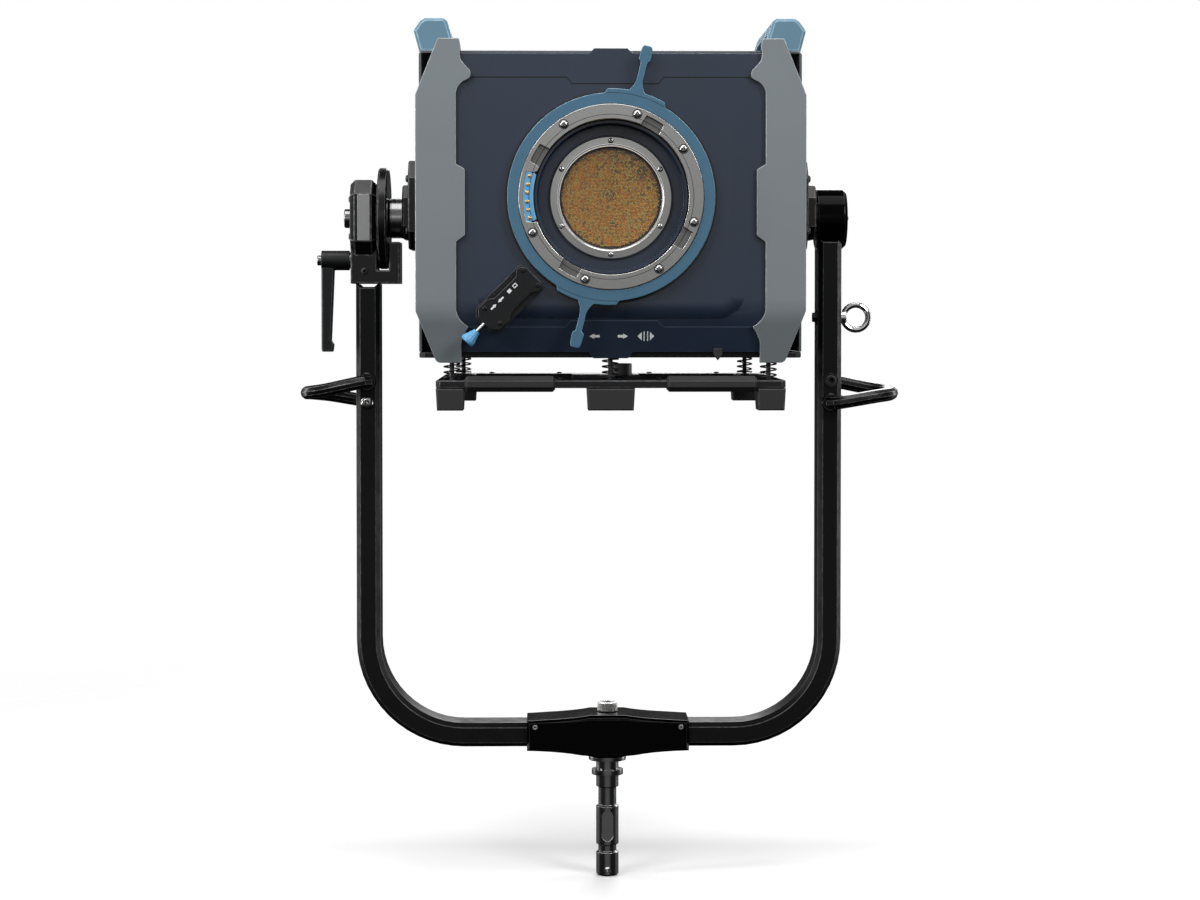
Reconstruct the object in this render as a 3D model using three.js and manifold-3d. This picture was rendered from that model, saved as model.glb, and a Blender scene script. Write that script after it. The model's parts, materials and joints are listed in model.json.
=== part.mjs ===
// A large studio lamp head that tilts in a steel yoke, with an accessory ring and a sprung base.
// Millimetres, +Z up, +X to the right of someone who faces the lamp's front, which looks along -Y.
// The origin is on the spigot's axis, where its flange rests on the stand.
import * as THREE from 'three';
import { mergeVertices } from 'three/addons/utils/BufferGeometryUtils.js';
import Module from 'manifold-3d';

const wasm = await Module();
wasm.setup();

// ---- driving dimensions ----
const GAP = 0.3; // between neighbouring pieces
const ROUND = 24; // sides of a round piece
const FINE = 48; // sides of the large rings

const ARM_LEFT = [-317.2, -286.8]; // outer and inner face of each arm, along X
const ARM_RIGHT = [295.4, 265.7];
const CROSSBAR = [38.8, 69.3]; // bottom and top of the crossbar
const TUBE_HALF_DEPTH = 30;
const TUBE_WALL = 3;
const BEND_RADIUS = 136; // outer radius of the yoke's two bends
const ARM_LEFT_TOP = 624.2;
const ARM_RIGHT_TOP = 682;

const TILT_Z = 707; // tilt axis, along X
const OPTIC_Z = 726.3; // optical axis, along Y
const CLAMP_Z = 654; // clamp screw's axis, along X

const SHELL_HALF = 231;
const SHELL_TOP = 903.6;
const SHELL_BOTTOM = 541;
const SHELL_FRONT = -168;
const SHELL_BACK = 214;
const SHELL_WALL = 3;
const PAN_BOTTOM = 533.6;

const GUARD_FRONT = -190;
const PANEL_FRONT = -184;
const PANEL_BACK = -176;
const PANEL_HALF = 204;
const PLATEAU_FRONT = -193;
const LEAN = 18; // how far the front leans back at its foot
const PLATEAU = { halfWidth: 144.2, bottom: 600, top: 839.3, corner: 14, slope: 18 };

const MOUNT_BORE = 92.6; // radius of the hole in the front panel
const STEEL_RING = { inner: 92.8, outer: 110.8, front: -205.5, back: -193.3 };
const LOCK_RING = { inner: 111.2, outer: 124.3, pad: 129.3, tip: 185, front: -204, back: -194.8 };
const LATCH_ANGLE = 225;

const PLATE = { bottom: 497.5, top: 507, half: 210.5, front: -190, back: 204 };
const GRIP_BAR_BACK = -175;
const FOOT_BOTTOM = 470.5;
const SPRING_POSTS = {
  front_left: [-192, -155],
  front_right: [192, -155],
  front_centre: [0, -155],
  rear_left: [-188, 183],
  rear_right: [188, 183],
};

const EYE_Z = 582;
const FAN_X = 62;
const FAN_RADIUS = 54;

// ---- materials ----
const finish = {
  yokeBlack: { color: 0x171717, roughness: 0.5, metalness: 0.3 },
  glossBlack: { color: 0x101010, roughness: 0.2, metalness: 0.2 },
  steel: { color: 0xa0a0a0, roughness: 0.3, metalness: 1 },
  chrome: { color: 0xd8d8d8, roughness: 0.08, metalness: 1 },
  guardGrey: { color: 0x858b8e, roughness: 0.55, metalness: 0.2 },
  navy: { color: 0x343b47, roughness: 0.6, metalness: 0.2 },
  ringBlue: { color: 0x47718b, roughness: 0.45, metalness: 0.3 },
  handleBlue: { color: 0x7392a4, roughness: 0.6, metalness: 0.1 },
  skyBlue: { color: 0x6ab1df, roughness: 0.4, metalness: 0.1 },
  amber: { color: 0x8a6a35, roughness: 0.4, metalness: 0.2 },
  glass: { color: 0xdfe8ea, roughness: 0.05, metalness: 0, transparent: true, opacity: 0.35 },
  aluminium: { color: 0xb4b7b9, roughness: 0.4, metalness: 1 },
  plasticBlack: { color: 0x1b1c1e, roughness: 0.55, metalness: 0 },
  rubber: { color: 0x161616, roughness: 0.85, metalness: 0 },
};

// ---- helpers ----
const Y_AXIS = new THREE.Vector3(0, 1, 0);
const Z_AXIS = new THREE.Vector3(0, 0, 1);
const X_AXIS = new THREE.Vector3(1, 0, 0);
const TO_YZ = new THREE.Matrix4().makeBasis(Y_AXIS, Z_AXIS, X_AXIS); // shape (y, z), depth along X
const part = new THREE.Group();

function solid(geometry) {
  const bare = geometry.index ? geometry.toNonIndexed() : geometry.clone();
  bare.deleteAttribute('normal');
  bare.deleteAttribute('uv');
  const welded = mergeVertices(bare, 1e-4);
  return new wasm.Manifold(new wasm.Mesh({
    numProp: 3,
    vertProperties: new Float32Array(welded.attributes.position.array),
    triVerts: new Uint32Array(welded.index.array),
  }));
}

function add(name, shape, look) {
  const { vertProperties, triVerts } = shape.getMesh();
  const geometry = new THREE.BufferGeometry();
  geometry.setAttribute('position', new THREE.BufferAttribute(new Float32Array(vertProperties), 3));
  geometry.setIndex(new THREE.BufferAttribute(new Uint32Array(triVerts), 1));
  geometry.computeVertexNormals();
  const mesh = new THREE.Mesh(geometry, new THREE.MeshStandardMaterial(finish[look]));
  mesh.name = name;
  part.add(mesh);
}

function join(...shapes) {
  return shapes.reduce((whole, shape) => whole.add(shape));
}

function cut(whole, ...tools) {
  return tools.reduce((left, tool) => left.subtract(tool), whole);
}

function block([x0, x1], [y0, y1], [z0, z1]) {
  const geometry = new THREE.BoxGeometry(x1 - x0, y1 - y0, z1 - z0);
  return solid(geometry.translate((x0 + x1) / 2, (y0 + y1) / 2, (z0 + z1) / 2));
}

function outline(points) {
  return new THREE.Shape(points.map(([a, b]) => new THREE.Vector2(a, b)));
}

function bevelled(depth, bevel, rise = bevel) {
  if (!bevel) return { depth, bevelEnabled: false, steps: 1 };
  return {
    depth: depth - 2 * rise, steps: 1, bevelEnabled: true, bevelSegments: 1,
    bevelThickness: rise, bevelSize: bevel, bevelOffset: -bevel,
  };
}

// A shape drawn in X and Z, as seen from the front, reaching from y0 to y1.
function plateXZ(shape, [y0, y1], { bevel = 0, rise = bevel, curveSegments = 12 } = {}) {
  const geometry = new THREE.ExtrudeGeometry(shape, { ...bevelled(y1 - y0, bevel, rise), curveSegments });
  return solid(geometry.rotateX(Math.PI / 2).translate(0, y1 - rise, 0));
}

// A shape drawn in Y and Z, as seen from the right, reaching from x0 to x1.
function plateYZ(shape, [x0, x1], { bevel = 0, curveSegments = 12 } = {}) {
  const geometry = new THREE.ExtrudeGeometry(shape, { ...bevelled(x1 - x0, bevel), curveSegments });
  return solid(geometry.applyMatrix4(TO_YZ).translate(x0 + bevel, 0, 0));
}

// A shape drawn in X and Y, as seen from above, reaching from z0 to z1.
function plateXY(shape, [z0, z1], { bevel = 0, curveSegments = 12 } = {}) {
  const geometry = new THREE.ExtrudeGeometry(shape, { ...bevelled(z1 - z0, bevel), curveSegments });
  return solid(geometry.translate(0, 0, z0 + bevel));
}

// A turned piece: the profile lists [radius, height] up the +Y side of a lathe.
function turned(profile, sides = ROUND) {
  return new THREE.LatheGeometry(profile.map(([r, h]) => new THREE.Vector2(r, h)), sides);
}

function turnedZ(profile, [x, y] = [0, 0], sides = ROUND) {
  return solid(turned(profile, sides).rotateX(Math.PI / 2).translate(x, y, 0));
}

function turnedX(profile, [y, z], sides = ROUND) {
  return solid(turned(profile, sides).rotateZ(-Math.PI / 2).translate(0, y, z));
}

function turnedY(profile, [x, z], sides = ROUND) {
  return solid(turned(profile, sides).translate(x, 0, z));
}

// The profile of a plain cylinder or ring between two heights.
function barrel(radius, [low, high], edge = 0) {
  const up = [
    [0, low], [radius - edge, low], [radius, low + edge], [radius, high - edge], [radius - edge, high],
    [0, high],
  ];
  return up.filter(([r, h], i, all) => i === 0 || r !== all[i - 1][0] || h !== all[i - 1][1]);
}

function hoop(inner, outer, [low, high], edge = 0) {
  const around = [
    [inner, low], [outer - edge, low], [outer, low + edge], [outer, high - edge], [outer - edge, high],
    [inner, high], [inner, low],
  ];
  return around.filter(([r, h], i, all) => i === 0 || r !== all[i - 1][0] || h !== all[i - 1][1]);
}

const rodX = (radius, span, [y, z], sides = ROUND) => turnedX(barrel(radius, span), [y, z], sides);
const rodY = (radius, span, [x, z], sides = ROUND) => turnedY(barrel(radius, span), [x, z], sides);
const rodZ = (radius, span, [x, y], sides = ROUND) => turnedZ(barrel(radius, span), [x, y], sides);

function roundedRectangle([a0, a1], [b0, b1], radius) {
  const shape = new THREE.Shape();
  shape.absarc(a1 - radius, b0 + radius, radius, -Math.PI / 2, 0);
  shape.absarc(a1 - radius, b1 - radius, radius, 0, Math.PI / 2);
  shape.absarc(a0 + radius, b1 - radius, radius, Math.PI / 2, Math.PI);
  shape.absarc(a0 + radius, b0 + radius, radius, Math.PI, 1.5 * Math.PI);
  return shape;
}

function cornered([a0, a1], [b0, b1], cutOff) {
  return outline([
    [a0 + cutOff, b0], [a1 - cutOff, b0], [a1, b0 + cutOff], [a1, b1 - cutOff],
    [a1 - cutOff, b1], [a0 + cutOff, b1], [a0, b1 - cutOff], [a0, b0 + cutOff],
  ]);
}

// A sector of a ring about the optical axis; angles are counter-clockwise as seen from the front.
function sector(inner, outer, [from, to], span) {
  const shape = new THREE.Shape();
  const [a, b] = [THREE.MathUtils.degToRad(from), THREE.MathUtils.degToRad(to)];
  shape.absarc(0, OPTIC_Z, outer, a, b, false);
  shape.absarc(0, OPTIC_Z, inner, b, a, true);
  return plateXZ(shape, span, { curveSegments: 7 });
}

// Turns a shape drawn along +X about the optical axis to the given angle.
function aroundOptic(shape, angle) {
  return shape.translate([0, 0, -OPTIC_Z]).rotate([0, -angle, 0]).translate([0, 0, OPTIC_Z]);
}

function tube(points, radius, { sides = 14, steps = 60 } = {}) {
  const section = new THREE.Shape();
  section.absarc(0, 0, radius, 0, 2 * Math.PI);
  const path = new THREE.CatmullRomCurve3(points.map((p) => new THREE.Vector3(...p)), false, 'centripetal');
  const geometry = new THREE.ExtrudeGeometry(section, { steps, extrudePath: path, curveSegments: sides });
  return solid(geometry);
}

const mirrorX = (shape) => shape.mirror([1, 0, 0]);
const bothSides = (name, makeLeft, look) => {
  add(`${name}_left`, makeLeft(), look);
  add(`${name}_right`, mirrorX(makeLeft()), look);
};

// ---- yoke ----
function yokeOutline(inset, leftTop, rightTop) {
  const [left, right, low] = [ARM_LEFT[0] + inset, ARM_RIGHT[0] - inset, CROSSBAR[0] + inset];
  const [innerLeft, innerRight, high] = [ARM_LEFT[1] - inset, ARM_RIGHT[1] + inset, CROSSBAR[1] - inset];
  const outer = BEND_RADIUS - inset;
  const inner = BEND_RADIUS - (CROSSBAR[1] - CROSSBAR[0]) + inset;
  const shape = new THREE.Shape();
  shape.moveTo(left, leftTop);
  shape.lineTo(left, low + outer);
  shape.absarc(left + outer, low + outer, outer, Math.PI, 1.5 * Math.PI, false);
  shape.absarc(right - outer, low + outer, outer, -Math.PI / 2, 0, false);
  shape.lineTo(right, rightTop);
  shape.lineTo(innerRight, rightTop);
  shape.absarc(innerRight - inner, high + inner, inner, 0, -Math.PI / 2, true);
  shape.absarc(innerLeft + inner, high + inner, inner, 1.5 * Math.PI, Math.PI, true);
  shape.lineTo(innerLeft, leftTop);
  return shape;
}

function yokeTube() {
  const depth = [-TUBE_HALF_DEPTH, TUBE_HALF_DEPTH];
  const inside = [-TUBE_HALF_DEPTH + TUBE_WALL, TUBE_HALF_DEPTH - TUBE_WALL];
  const over = 20;
  const outside = plateXZ(
    yokeOutline(0, ARM_LEFT_TOP, ARM_RIGHT_TOP), depth,
    { bevel: 5.5, rise: 8, curveSegments: 7 },
  );
  const hollow = plateXZ(
    yokeOutline(TUBE_WALL, ARM_LEFT_TOP + over, ARM_RIGHT_TOP + over), inside,
    { bevel: 4, rise: 6, curveSegments: 6 },
  );
  return cut(
    outside, hollow,
    rodX(38 + GAP, [255, 310], [0, TILT_Z], FINE),
    rodZ(5 + GAP, [30, 80], [0, 0]),
    rodX(6 + GAP, [260, 300], [0, EYE_Z]),
  );
}

function spigotBlock() {
  const half = 102.4;
  const shape = new THREE.Shape();
  shape.moveTo(-half, 35);
  shape.quadraticCurveTo(-60, 34, -34, 29);
  shape.quadraticCurveTo(0, 25, 34, 29);
  shape.quadraticCurveTo(60, 34, half, 35);
  shape.lineTo(half, 73);
  shape.quadraticCurveTo(40, 76, 22, 80);
  shape.lineTo(-22, 80);
  shape.quadraticCurveTo(-40, 76, -half, 73);
  const body = plateXZ(shape, [-40, 40], { bevel: 3, rise: 5, curveSegments: 5 });
  const bar = block([-half - 5, half + 5], [-30 - GAP, 30 + GAP], [CROSSBAR[0] - GAP, CROSSBAR[1] + GAP]);
  return cut(body, bar, rodZ(5 + GAP, [20, 90], [0, 0]));
}

function spigot() {
  const turnedBody = turnedZ([
    [0, -128.9], [12.3, -128.9], [14.3, -126.9], [14.3, -99.4], [11.5, -98], [11.5, -90.3], [14.3, -88.9],
    [14.3, -40.5], [11.5, -39], [11.5, -16.7], [14.3, -15.2], [14.3, 0], [20, 0], [20, 6.9], [14.3, 6.9],
    [14.3, 18.6], [23.8, 18.6], [23.8, 23.4], [22.6, 24.6], [0, 24.6],
  ]);
  const flat = roundedRectangle([-7.3, 7.3], [-84.5, -45.5], 7.2);
  return cut(
    turnedBody,
    plateXZ(flat, [-20, -11], { curveSegments: 2 }), plateXZ(flat, [11, 20], { curveSegments: 2 }),
    rodY(4.15, [-20, 20], [0, -121.2], 16),
    rodZ(5 + GAP, [2, 30], [0, 0]),
  );
}

function spigotTopBolt() {
  return turnedZ([
    [0, 3], [5, 3], [5, 80.4], [12.2, 80.4], [13, 81.2], [13, 91.5], [11.8, 92.7], [6.5, 92.7],
    [6.5, 87], [0, 87],
  ]);
}

// A bar bent round the arm's outer side, with its ends on the front and rear faces.
function sideHandle(side, arm, tipX, frontZ, rearZ) {
  const face = TUBE_HALF_DEPTH + GAP;
  const out = (x) => side * x;
  const middleZ = (frontZ + rearZ) / 2 - 1.5;
  const reach = Math.abs(tipX) - 8.5;
  return tube([
    [arm, -face, frontZ], [arm, -face - 7, frontZ], [arm + out(4.5), -face - 13.5, frontZ],
    [arm + out(16), -face - 16, frontZ - (frontZ - middleZ) * 0.15],
    [out(reach - 24), -39, middleZ + (frontZ - middleZ) * 0.3],
    [out(reach - 7), -28, middleZ + (frontZ - middleZ) * 0.12], [out(reach), 0, middleZ],
    [out(reach - 7), 28, middleZ + (rearZ - middleZ) * 0.12],
    [out(reach - 24), 39, middleZ + (rearZ - middleZ) * 0.3],
    [arm + out(16), face + 16, rearZ - (rearZ - middleZ) * 0.15], [arm + out(4.5), face + 13.5, rearZ],
    [arm, face + 7, rearZ], [arm, face, rearZ],
  ], 8.5, { sides: 5, steps: 30 });
}

function eyeBolt() {
  const ring = new THREE.TorusGeometry(15.9, 3.9, 8, ROUND).rotateX(Math.PI / 2).translate(316, 0, EYE_Z);
  const collar = rodX(7.75, [ARM_RIGHT[0] + GAP, 303.5], [0, EYE_Z], 16);
  const shank = rodX(6, [ARM_RIGHT[1] - 1, ARM_RIGHT[0] + 2], [0, EYE_Z], 16);
  return join(solid(ring), collar, shank);
}

function tiltClampBody() {
  const face = cornered([-48, 48], [TILT_Z - 47.6, TILT_Z + 47.6], 18);
  const upper = plateYZ(face, [-323.4, -290.2], { bevel: 6 });
  const caliper = plateXZ(outline([
    [-323.4, 624.5], [-261.5, 624.5], [-261.5, 677], [-275.4, 677], [-275.4, 641.5], [-290.2, 641.5],
    [-290.2, 700], [-323.4, 700],
  ]), [-31, 31], { bevel: 1.2 });
  const slot = rodX(65, [-290.2, -275.4], [0, TILT_Z], FINE);
  return cut(
    join(upper, caliper), slot,
    rodX(12 + GAP, [-330, -285], [0, TILT_Z]),
    rodX(5 + GAP, [-330, -285], [0, CLAMP_Z]),
    rodX(11.4, [-296, -285], [0, CLAMP_Z]),
  );
}

function tiltCap() {
  const cap = turnedX([[0, 264], [37, 264], [38, 265], [38, 298], [34.5, 302], [0, 302]], [0, TILT_Z], FINE);
  return cut(cap, rodX(12 + GAP, [260, 290], [0, TILT_Z]));
}

add('yoke_tube', yokeTube(), 'yokeBlack');
add('spigot_block', spigotBlock(), 'glossBlack');
add('spigot', spigot(), 'steel');
add('spigot_top_bolt', spigotTopBolt(), 'steel');
add('side_handle_left', sideHandle(-1, -303, -389, 501, 474.5), 'yokeBlack');
add('side_handle_right', sideHandle(1, 281.6, 370, 474.5, 501), 'yokeBlack');
add('eye_bolt', eyeBolt(), 'chrome');
add('tilt_clamp_body', tiltClampBody(), 'yokeBlack');
add('tilt_cap', tiltCap(), 'yokeBlack');
add('brake_pad', rodX(11, [-295.6, -289.5], [0, CLAMP_Z], 24), 'rubber');

// ---- clamp lever ----
function clampHandle() {
  const hub = rodX(12.5, [-362, -326.4], [0, CLAMP_Z]);
  const arm = plateXZ(outline([
    [-362, 658], [-362, 541], [-360.6, 538.5], [-347.4, 538.5], [-346.2, 547.5], [-349.3, 553.5],
    [-345.5, 642], [-345.5, 658],
  ]), [-8, 8], { bevel: 1.5 });
  return cut(join(hub, arm), rodX(6.8, [-365, -320], [0, CLAMP_Z]));
}

add('clamp_screw', turnedX([
  [0, -367.4], [5.5, -367.4], [6.4, -366.5], [6.4, -326.2], [10, -326.2], [10, -323.8], [5, -323.8],
  [5, -296.1], [0, -296.1],
], [0, CLAMP_Z], 24), 'steel');
add('clamp_handle', clampHandle(), 'plasticBlack');

// ---- tilt joint on the lamp ----
add('tilt_disc', turnedX([
  [12 + GAP, -289], [62, -289], [64, -287], [64, -278.3], [62, -276.3], [12 + GAP, -276.3], [12 + GAP, -289],
], [0, TILT_Z], FINE), 'yokeBlack');
add('tilt_axle_left', cut(turnedX([
  [0, -323.3], [12, -323.3], [12, -276], [23.5, -276], [25, -274.5], [25, -258.6], [0, -258.6],
], [0, TILT_Z]), rodX(5, [-330, -300], [0, TILT_Z], 24)), 'steel');
add('tilt_end_bolt', turnedX([
  [0, -333], [10.8, -333], [12, -331.8], [12, -323.7], [4.6, -323.7], [4.6, -302], [0, -302],
], [0, TILT_Z], 24), 'steel');
add('tilt_axle_right', turnedX([
  [0, 262.2], [20, 262.2], [20, 263.7], [12, 263.7], [12, 288], [0, 288],
], [0, TILT_Z]), 'steel');

// A stepped bracket bolted to the shell's side.
function sideBracket(outerX) {
  const base = plateYZ(cornered([-62, 62], [667, 778], 22), [-250, -SHELL_HALF - GAP], { bevel: 1.5 });
  const boss = plateYZ(cornered([-44, 44], [680, 748], 16), [outerX, -248], { bevel: 2 });
  return join(base, boss);
}

add('side_bracket_left', sideBracket(-258.3), 'yokeBlack');
add('side_bracket_right', mirrorX(sideBracket(-261.9)), 'yokeBlack');

// ---- lamp body ----
function housingShell() {
  const outside = plateXZ(outline([
    [-SHELL_HALF, SHELL_BOTTOM], [SHELL_HALF, SHELL_BOTTOM], [SHELL_HALF, SHELL_TOP - 4],
    [SHELL_HALF - 4, SHELL_TOP], [-SHELL_HALF + 4, SHELL_TOP], [-SHELL_HALF, SHELL_TOP - 4],
  ]), [SHELL_FRONT, SHELL_BACK]);
  const inside = block(
    [-SHELL_HALF + SHELL_WALL, SHELL_HALF - SHELL_WALL], [SHELL_FRONT - 5, SHELL_BACK + 5],
    [SHELL_BOTTOM - 5, SHELL_TOP - SHELL_WALL],
  );
  const slots = [];
  for (let row = 0; row < 6; row += 1) {
    const z = 800 + row * 14;
    for (const y of [-110, 20]) {
      slots.push(block([-SHELL_HALF - 5, SHELL_HALF + 5], [y, y + 110], [z, z + 6]));
    }
  }
  return cut(outside, inside, ...slots);
}

function bottomPan() {
  const face = cornered([-SHELL_HALF, SHELL_HALF], [SHELL_FRONT, SHELL_BACK], 6);
  const plate = plateXY(face, [PAN_BOTTOM, SHELL_BOTTOM - GAP], { bevel: 1 });
  const vents = [];
  for (let row = 0; row < 7; row += 1) {
    const y = -90 + row * 34;
    for (const x of [-120, 20]) {
      vents.push(block([x, x + 100], [y, y + 10], [PAN_BOTTOM - 5, SHELL_BOTTOM + 5]));
    }
  }
  const notchBack = PANEL_BACK + LEAN + 2;
  const panelFoot = block([-PANEL_HALF - 1, PANEL_HALF + 1], [SHELL_FRONT - 5, notchBack], [500, 560]);
  return cut(plate, panelFoot, ...vents);
}

// The front leans back below the plateau, on the panel and on both guards.
function leaningFront(front, back, [low, high]) {
  const bendZ = 604;
  const shape = new THREE.Shape();
  shape.moveTo(front, high);
  shape.lineTo(front, bendZ);
  shape.quadraticCurveTo(front, bendZ - 16, front + 3, bendZ - 28);
  shape.lineTo(front + LEAN, low);
  shape.lineTo(back + LEAN, low);
  shape.lineTo(back + 3, bendZ - 28);
  shape.quadraticCurveTo(back, bendZ - 16, back, bendZ);
  shape.lineTo(back, high);
  return shape;
}

function frontPanel() {
  const face = outline([
    [-PANEL_HALF, 540.6], [-27, 540.6], [-21, 533], [21, 533], [27, 540.6], [PANEL_HALF, 540.6],
    [PANEL_HALF, 899], [26, 899], [20, 905], [-20, 905], [-26, 899], [-PANEL_HALF, 899],
  ]);
  const profile = leaningFront(PANEL_FRONT, PANEL_BACK, [520, 910]);
  const leaning = plateYZ(profile, [-PANEL_HALF - 5, PANEL_HALF + 5], { curveSegments: 3 });
  const sheet = plateXZ(face, [-200, -140]).intersect(leaning);
  const { halfWidth, bottom, top, corner, slope } = PLATEAU;
  const rise = PANEL_FRONT - PLATEAU_FRONT;
  const reach = halfWidth + slope;
  const rim = roundedRectangle([-reach, reach], [bottom - slope, top + slope], corner + slope);
  const depth = [PLATEAU_FRONT, PLATEAU_FRONT + 2 * rise + 4];
  const raised = plateXZ(rim, depth, { bevel: slope, rise, curveSegments: 3 });
  const backHalf = block([-220, 220], [PANEL_BACK, 0], [500, 950]);
  return cut(join(sheet, cut(raised, backHalf)), rodY(MOUNT_BORE, [-220, -100], [0, OPTIC_Z], FINE));
}

function guardOutline() {
  const shape = new THREE.Shape();
  shape.moveTo(-207.5, 916.3);
  shape.lineTo(-234.5, 848.9);
  shape.lineTo(-234.5, 590.2);
  shape.lineTo(-211.5, 532);
  shape.quadraticCurveTo(-209.3, 527.7, -205, 527.7);
  shape.lineTo(-179.8, 527.7);
  shape.lineTo(-179.8, 551.1);
  shape.quadraticCurveTo(-178, 560, -170.6, 571.2);
  shape.quadraticCurveTo(-183.5, 578, -185.6, 590.4);
  shape.lineTo(-185.6, 672.9);
  shape.lineTo(-175, 680.9);
  shape.lineTo(-175, 760);
  shape.lineTo(-185.6, 766.1);
  shape.lineTo(-185.6, 851.9);
  shape.quadraticCurveTo(-183, 863.5, -171, 867.6);
  shape.quadraticCurveTo(-166, 871, -169, 878.4);
  shape.quadraticCurveTo(-176, 885, -180, 891);
  shape.lineTo(-181, 898.7);
  shape.lineTo(-179.7, 907.1);
  shape.lineTo(-182, 916.3);
  return shape;
}

function frontGuard() {
  const blank = plateXZ(guardOutline(), [-200, -120], { curveSegments: 4 });
  const faceProfile = leaningFront(GUARD_FRONT, PANEL_FRONT - GAP, [515, 925]);
  const sideProfile = leaningFront(GUARD_FRONT, SHELL_FRONT - GAP, [515, 925]);
  const face = plateYZ(faceProfile, [-240, -160], { curveSegments: 4 });
  const side = plateYZ(sideProfile, [-240, -PANEL_HALF - 0.6], { curveSegments: 4 });
  const guard = blank.intersect(join(face, side));
  const behindShell = block([-SHELL_HALF - 0.4, 0], [SHELL_FRONT - GAP, 0], [500, 950]);
  const flange = plateYZ(outline([
    [-172, 590.2], [-150, 600], [-96, 640], [-96, 800], [-150, 842], [-172, 848.9],
  ]), [-234.5, -SHELL_HALF - 0.4]);
  return join(cut(guard, behindShell), flange);
}

function rearGuard() {
  const shape = outline([
    [-207.5, 912], [-234.5, 848.9], [-234.5, 590.2], [-209, 527.7], [-174, 527.7], [-174, 556], [-190, 572],
    [-190, 866], [-174, 882], [-174, 912],
  ]);
  const plate = plateXZ(shape, [SHELL_BACK + GAP, 224], { bevel: 1.5 });
  const flange = plateYZ(outline([
    [218, 590.2], [218, 848.9], [196, 842], [150, 800], [150, 640], [196, 600],
  ]), [-234.5, -SHELL_HALF - 0.4]);
  return join(plate, flange);
}

function rearPanel() {
  const face = cornered([-SHELL_HALF + 4, SHELL_HALF - 4], [SHELL_BOTTOM + 1, SHELL_TOP - 4], 4);
  const plate = plateXZ(face, [200, 210]);
  const openings = [rodY(16.4, [190, 230], [-130, 586])];
  for (const x of [-FAN_X, FAN_X]) {
    for (let bar = 0; bar < 7; bar += 1) {
      const z = OPTIC_Z - 52 + bar * 16;
      const half = Math.sqrt(58 ** 2 - (z - OPTIC_Z + 4) ** 2);
      openings.push(block([x - half, x + half], [190, 230], [z, z + 8]));
    }
  }
  return cut(plate, ...openings);
}

// A wide strap over the top edge that leans outwards, with a finger gap under it.
function carryHandle() {
  const strap = plateXZ(outline([
    [-231.5, SHELL_TOP + GAP], [-238.6, 930.5], [-230.5, 942], [-225, 945.6], [-202, 945.6], [-197.6, 942],
    [-186.6, SHELL_TOP + GAP],
  ]), [-142, 98], { bevel: 3 });
  const hole = outline([[-116, 890], [72, 890], [72, 914], [56, 929], [-100, 929], [-116, 914]]);
  return cut(strap, plateYZ(hole, [-260, -160]));
}

add('housing_shell', housingShell(), 'guardGrey');
add('bottom_pan', bottomPan(), 'plasticBlack');
add('front_panel', frontPanel(), 'navy');
bothSides('front_guard', frontGuard, 'guardGrey');
bothSides('rear_guard', rearGuard, 'guardGrey');
add('rear_panel', rearPanel(), 'navy');
bothSides('carry_handle', carryHandle, 'handleBlue');

// ---- light engine and cooling ----
function heatSink() {
  const fins = [];
  for (let i = 0; i < 15; i += 1) {
    const x = -91 + i * 13;
    fins.push(block([x - 1.2, x + 1.2], [-150, 60], [OPTIC_Z - 90, OPTIC_Z + 90]));
  }
  return join(block([-95, 95], [-159, -147], [OPTIC_Z - 95, OPTIC_Z + 95]), ...fins);
}

function fanFrame() {
  const plate = plateXZ(cornered([-126, 126], [OPTIC_Z - 66, OPTIC_Z + 66], 10), [150, 176]);
  const holes = [-FAN_X, FAN_X].map((x) => rodY(FAN_RADIUS + 3, [140, 190], [x, OPTIC_Z]));
  const struts = [-FAN_X, FAN_X].flatMap((x) => [
    rodY(17, [171, 176], [x, OPTIC_Z], 24),
    block([x - 60, x + 60], [172, 176], [OPTIC_Z - 3, OPTIC_Z + 3]),
    block([x - 3, x + 3], [172, 176], [OPTIC_Z - 60, OPTIC_Z + 60]),
  ]);
  return join(cut(plate, ...holes), ...struts);
}

function fanRotor(x) {
  const hub = rodY(20, [153, 170.5], [x, OPTIC_Z], 32);
  const blades = [];
  for (let i = 0; i < 7; i += 1) {
    const blade = new THREE.BoxGeometry(38, 2, 20).rotateX(-0.7).translate(35.5, 162, 0);
    blades.push(solid(blade.rotateY(i * 2 * Math.PI / 7).translate(x, 0, OPTIC_Z)));
  }
  return join(hub, ...blades);
}

function powerInlet() {
  const collar = cut(rodY(22, [210.4, 214], [-130, 586]), rodY(12, [200, 220], [-130, 586]));
  const socket = turnedY([[0, 180], [16, 180], [16, 212], [11.9, 212], [11.9, 184], [0, 184]], [-130, 586]);
  return join(collar, socket);
}

add('led_module', join(rodY(60, [-169.5, -164], [0, OPTIC_Z], FINE),
  block([-78, 78], [-165, -159.5], [OPTIC_Z - 78, OPTIC_Z + 78])), 'amber');
add('heat_sink', heatSink(), 'aluminium');
add('fan_frame', fanFrame(), 'plasticBlack');
add('fan_rotor_left', fanRotor(-FAN_X), 'plasticBlack');
add('fan_rotor_right', fanRotor(FAN_X), 'plasticBlack');
add('power_inlet', powerInlet(), 'plasticBlack');

// ---- accessory mount ----
function bayonetRing() {
  const { inner, outer, front, back } = STEEL_RING;
  const ring = turnedY(hoop(inner, outer, [front, back], 1), [0, OPTIC_Z], FINE);
  const slots = [60, 150, 240, 330].map((middle) =>
    sector(inner - 3, 105, [middle - 7.5, middle + 7.5], [-210, -190]));
  const contactNotch = sector(inner - 3, 106.6, [162.7, 197.6], [-210, -190]);
  return cut(ring, ...slots, contactNotch);
}

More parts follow.
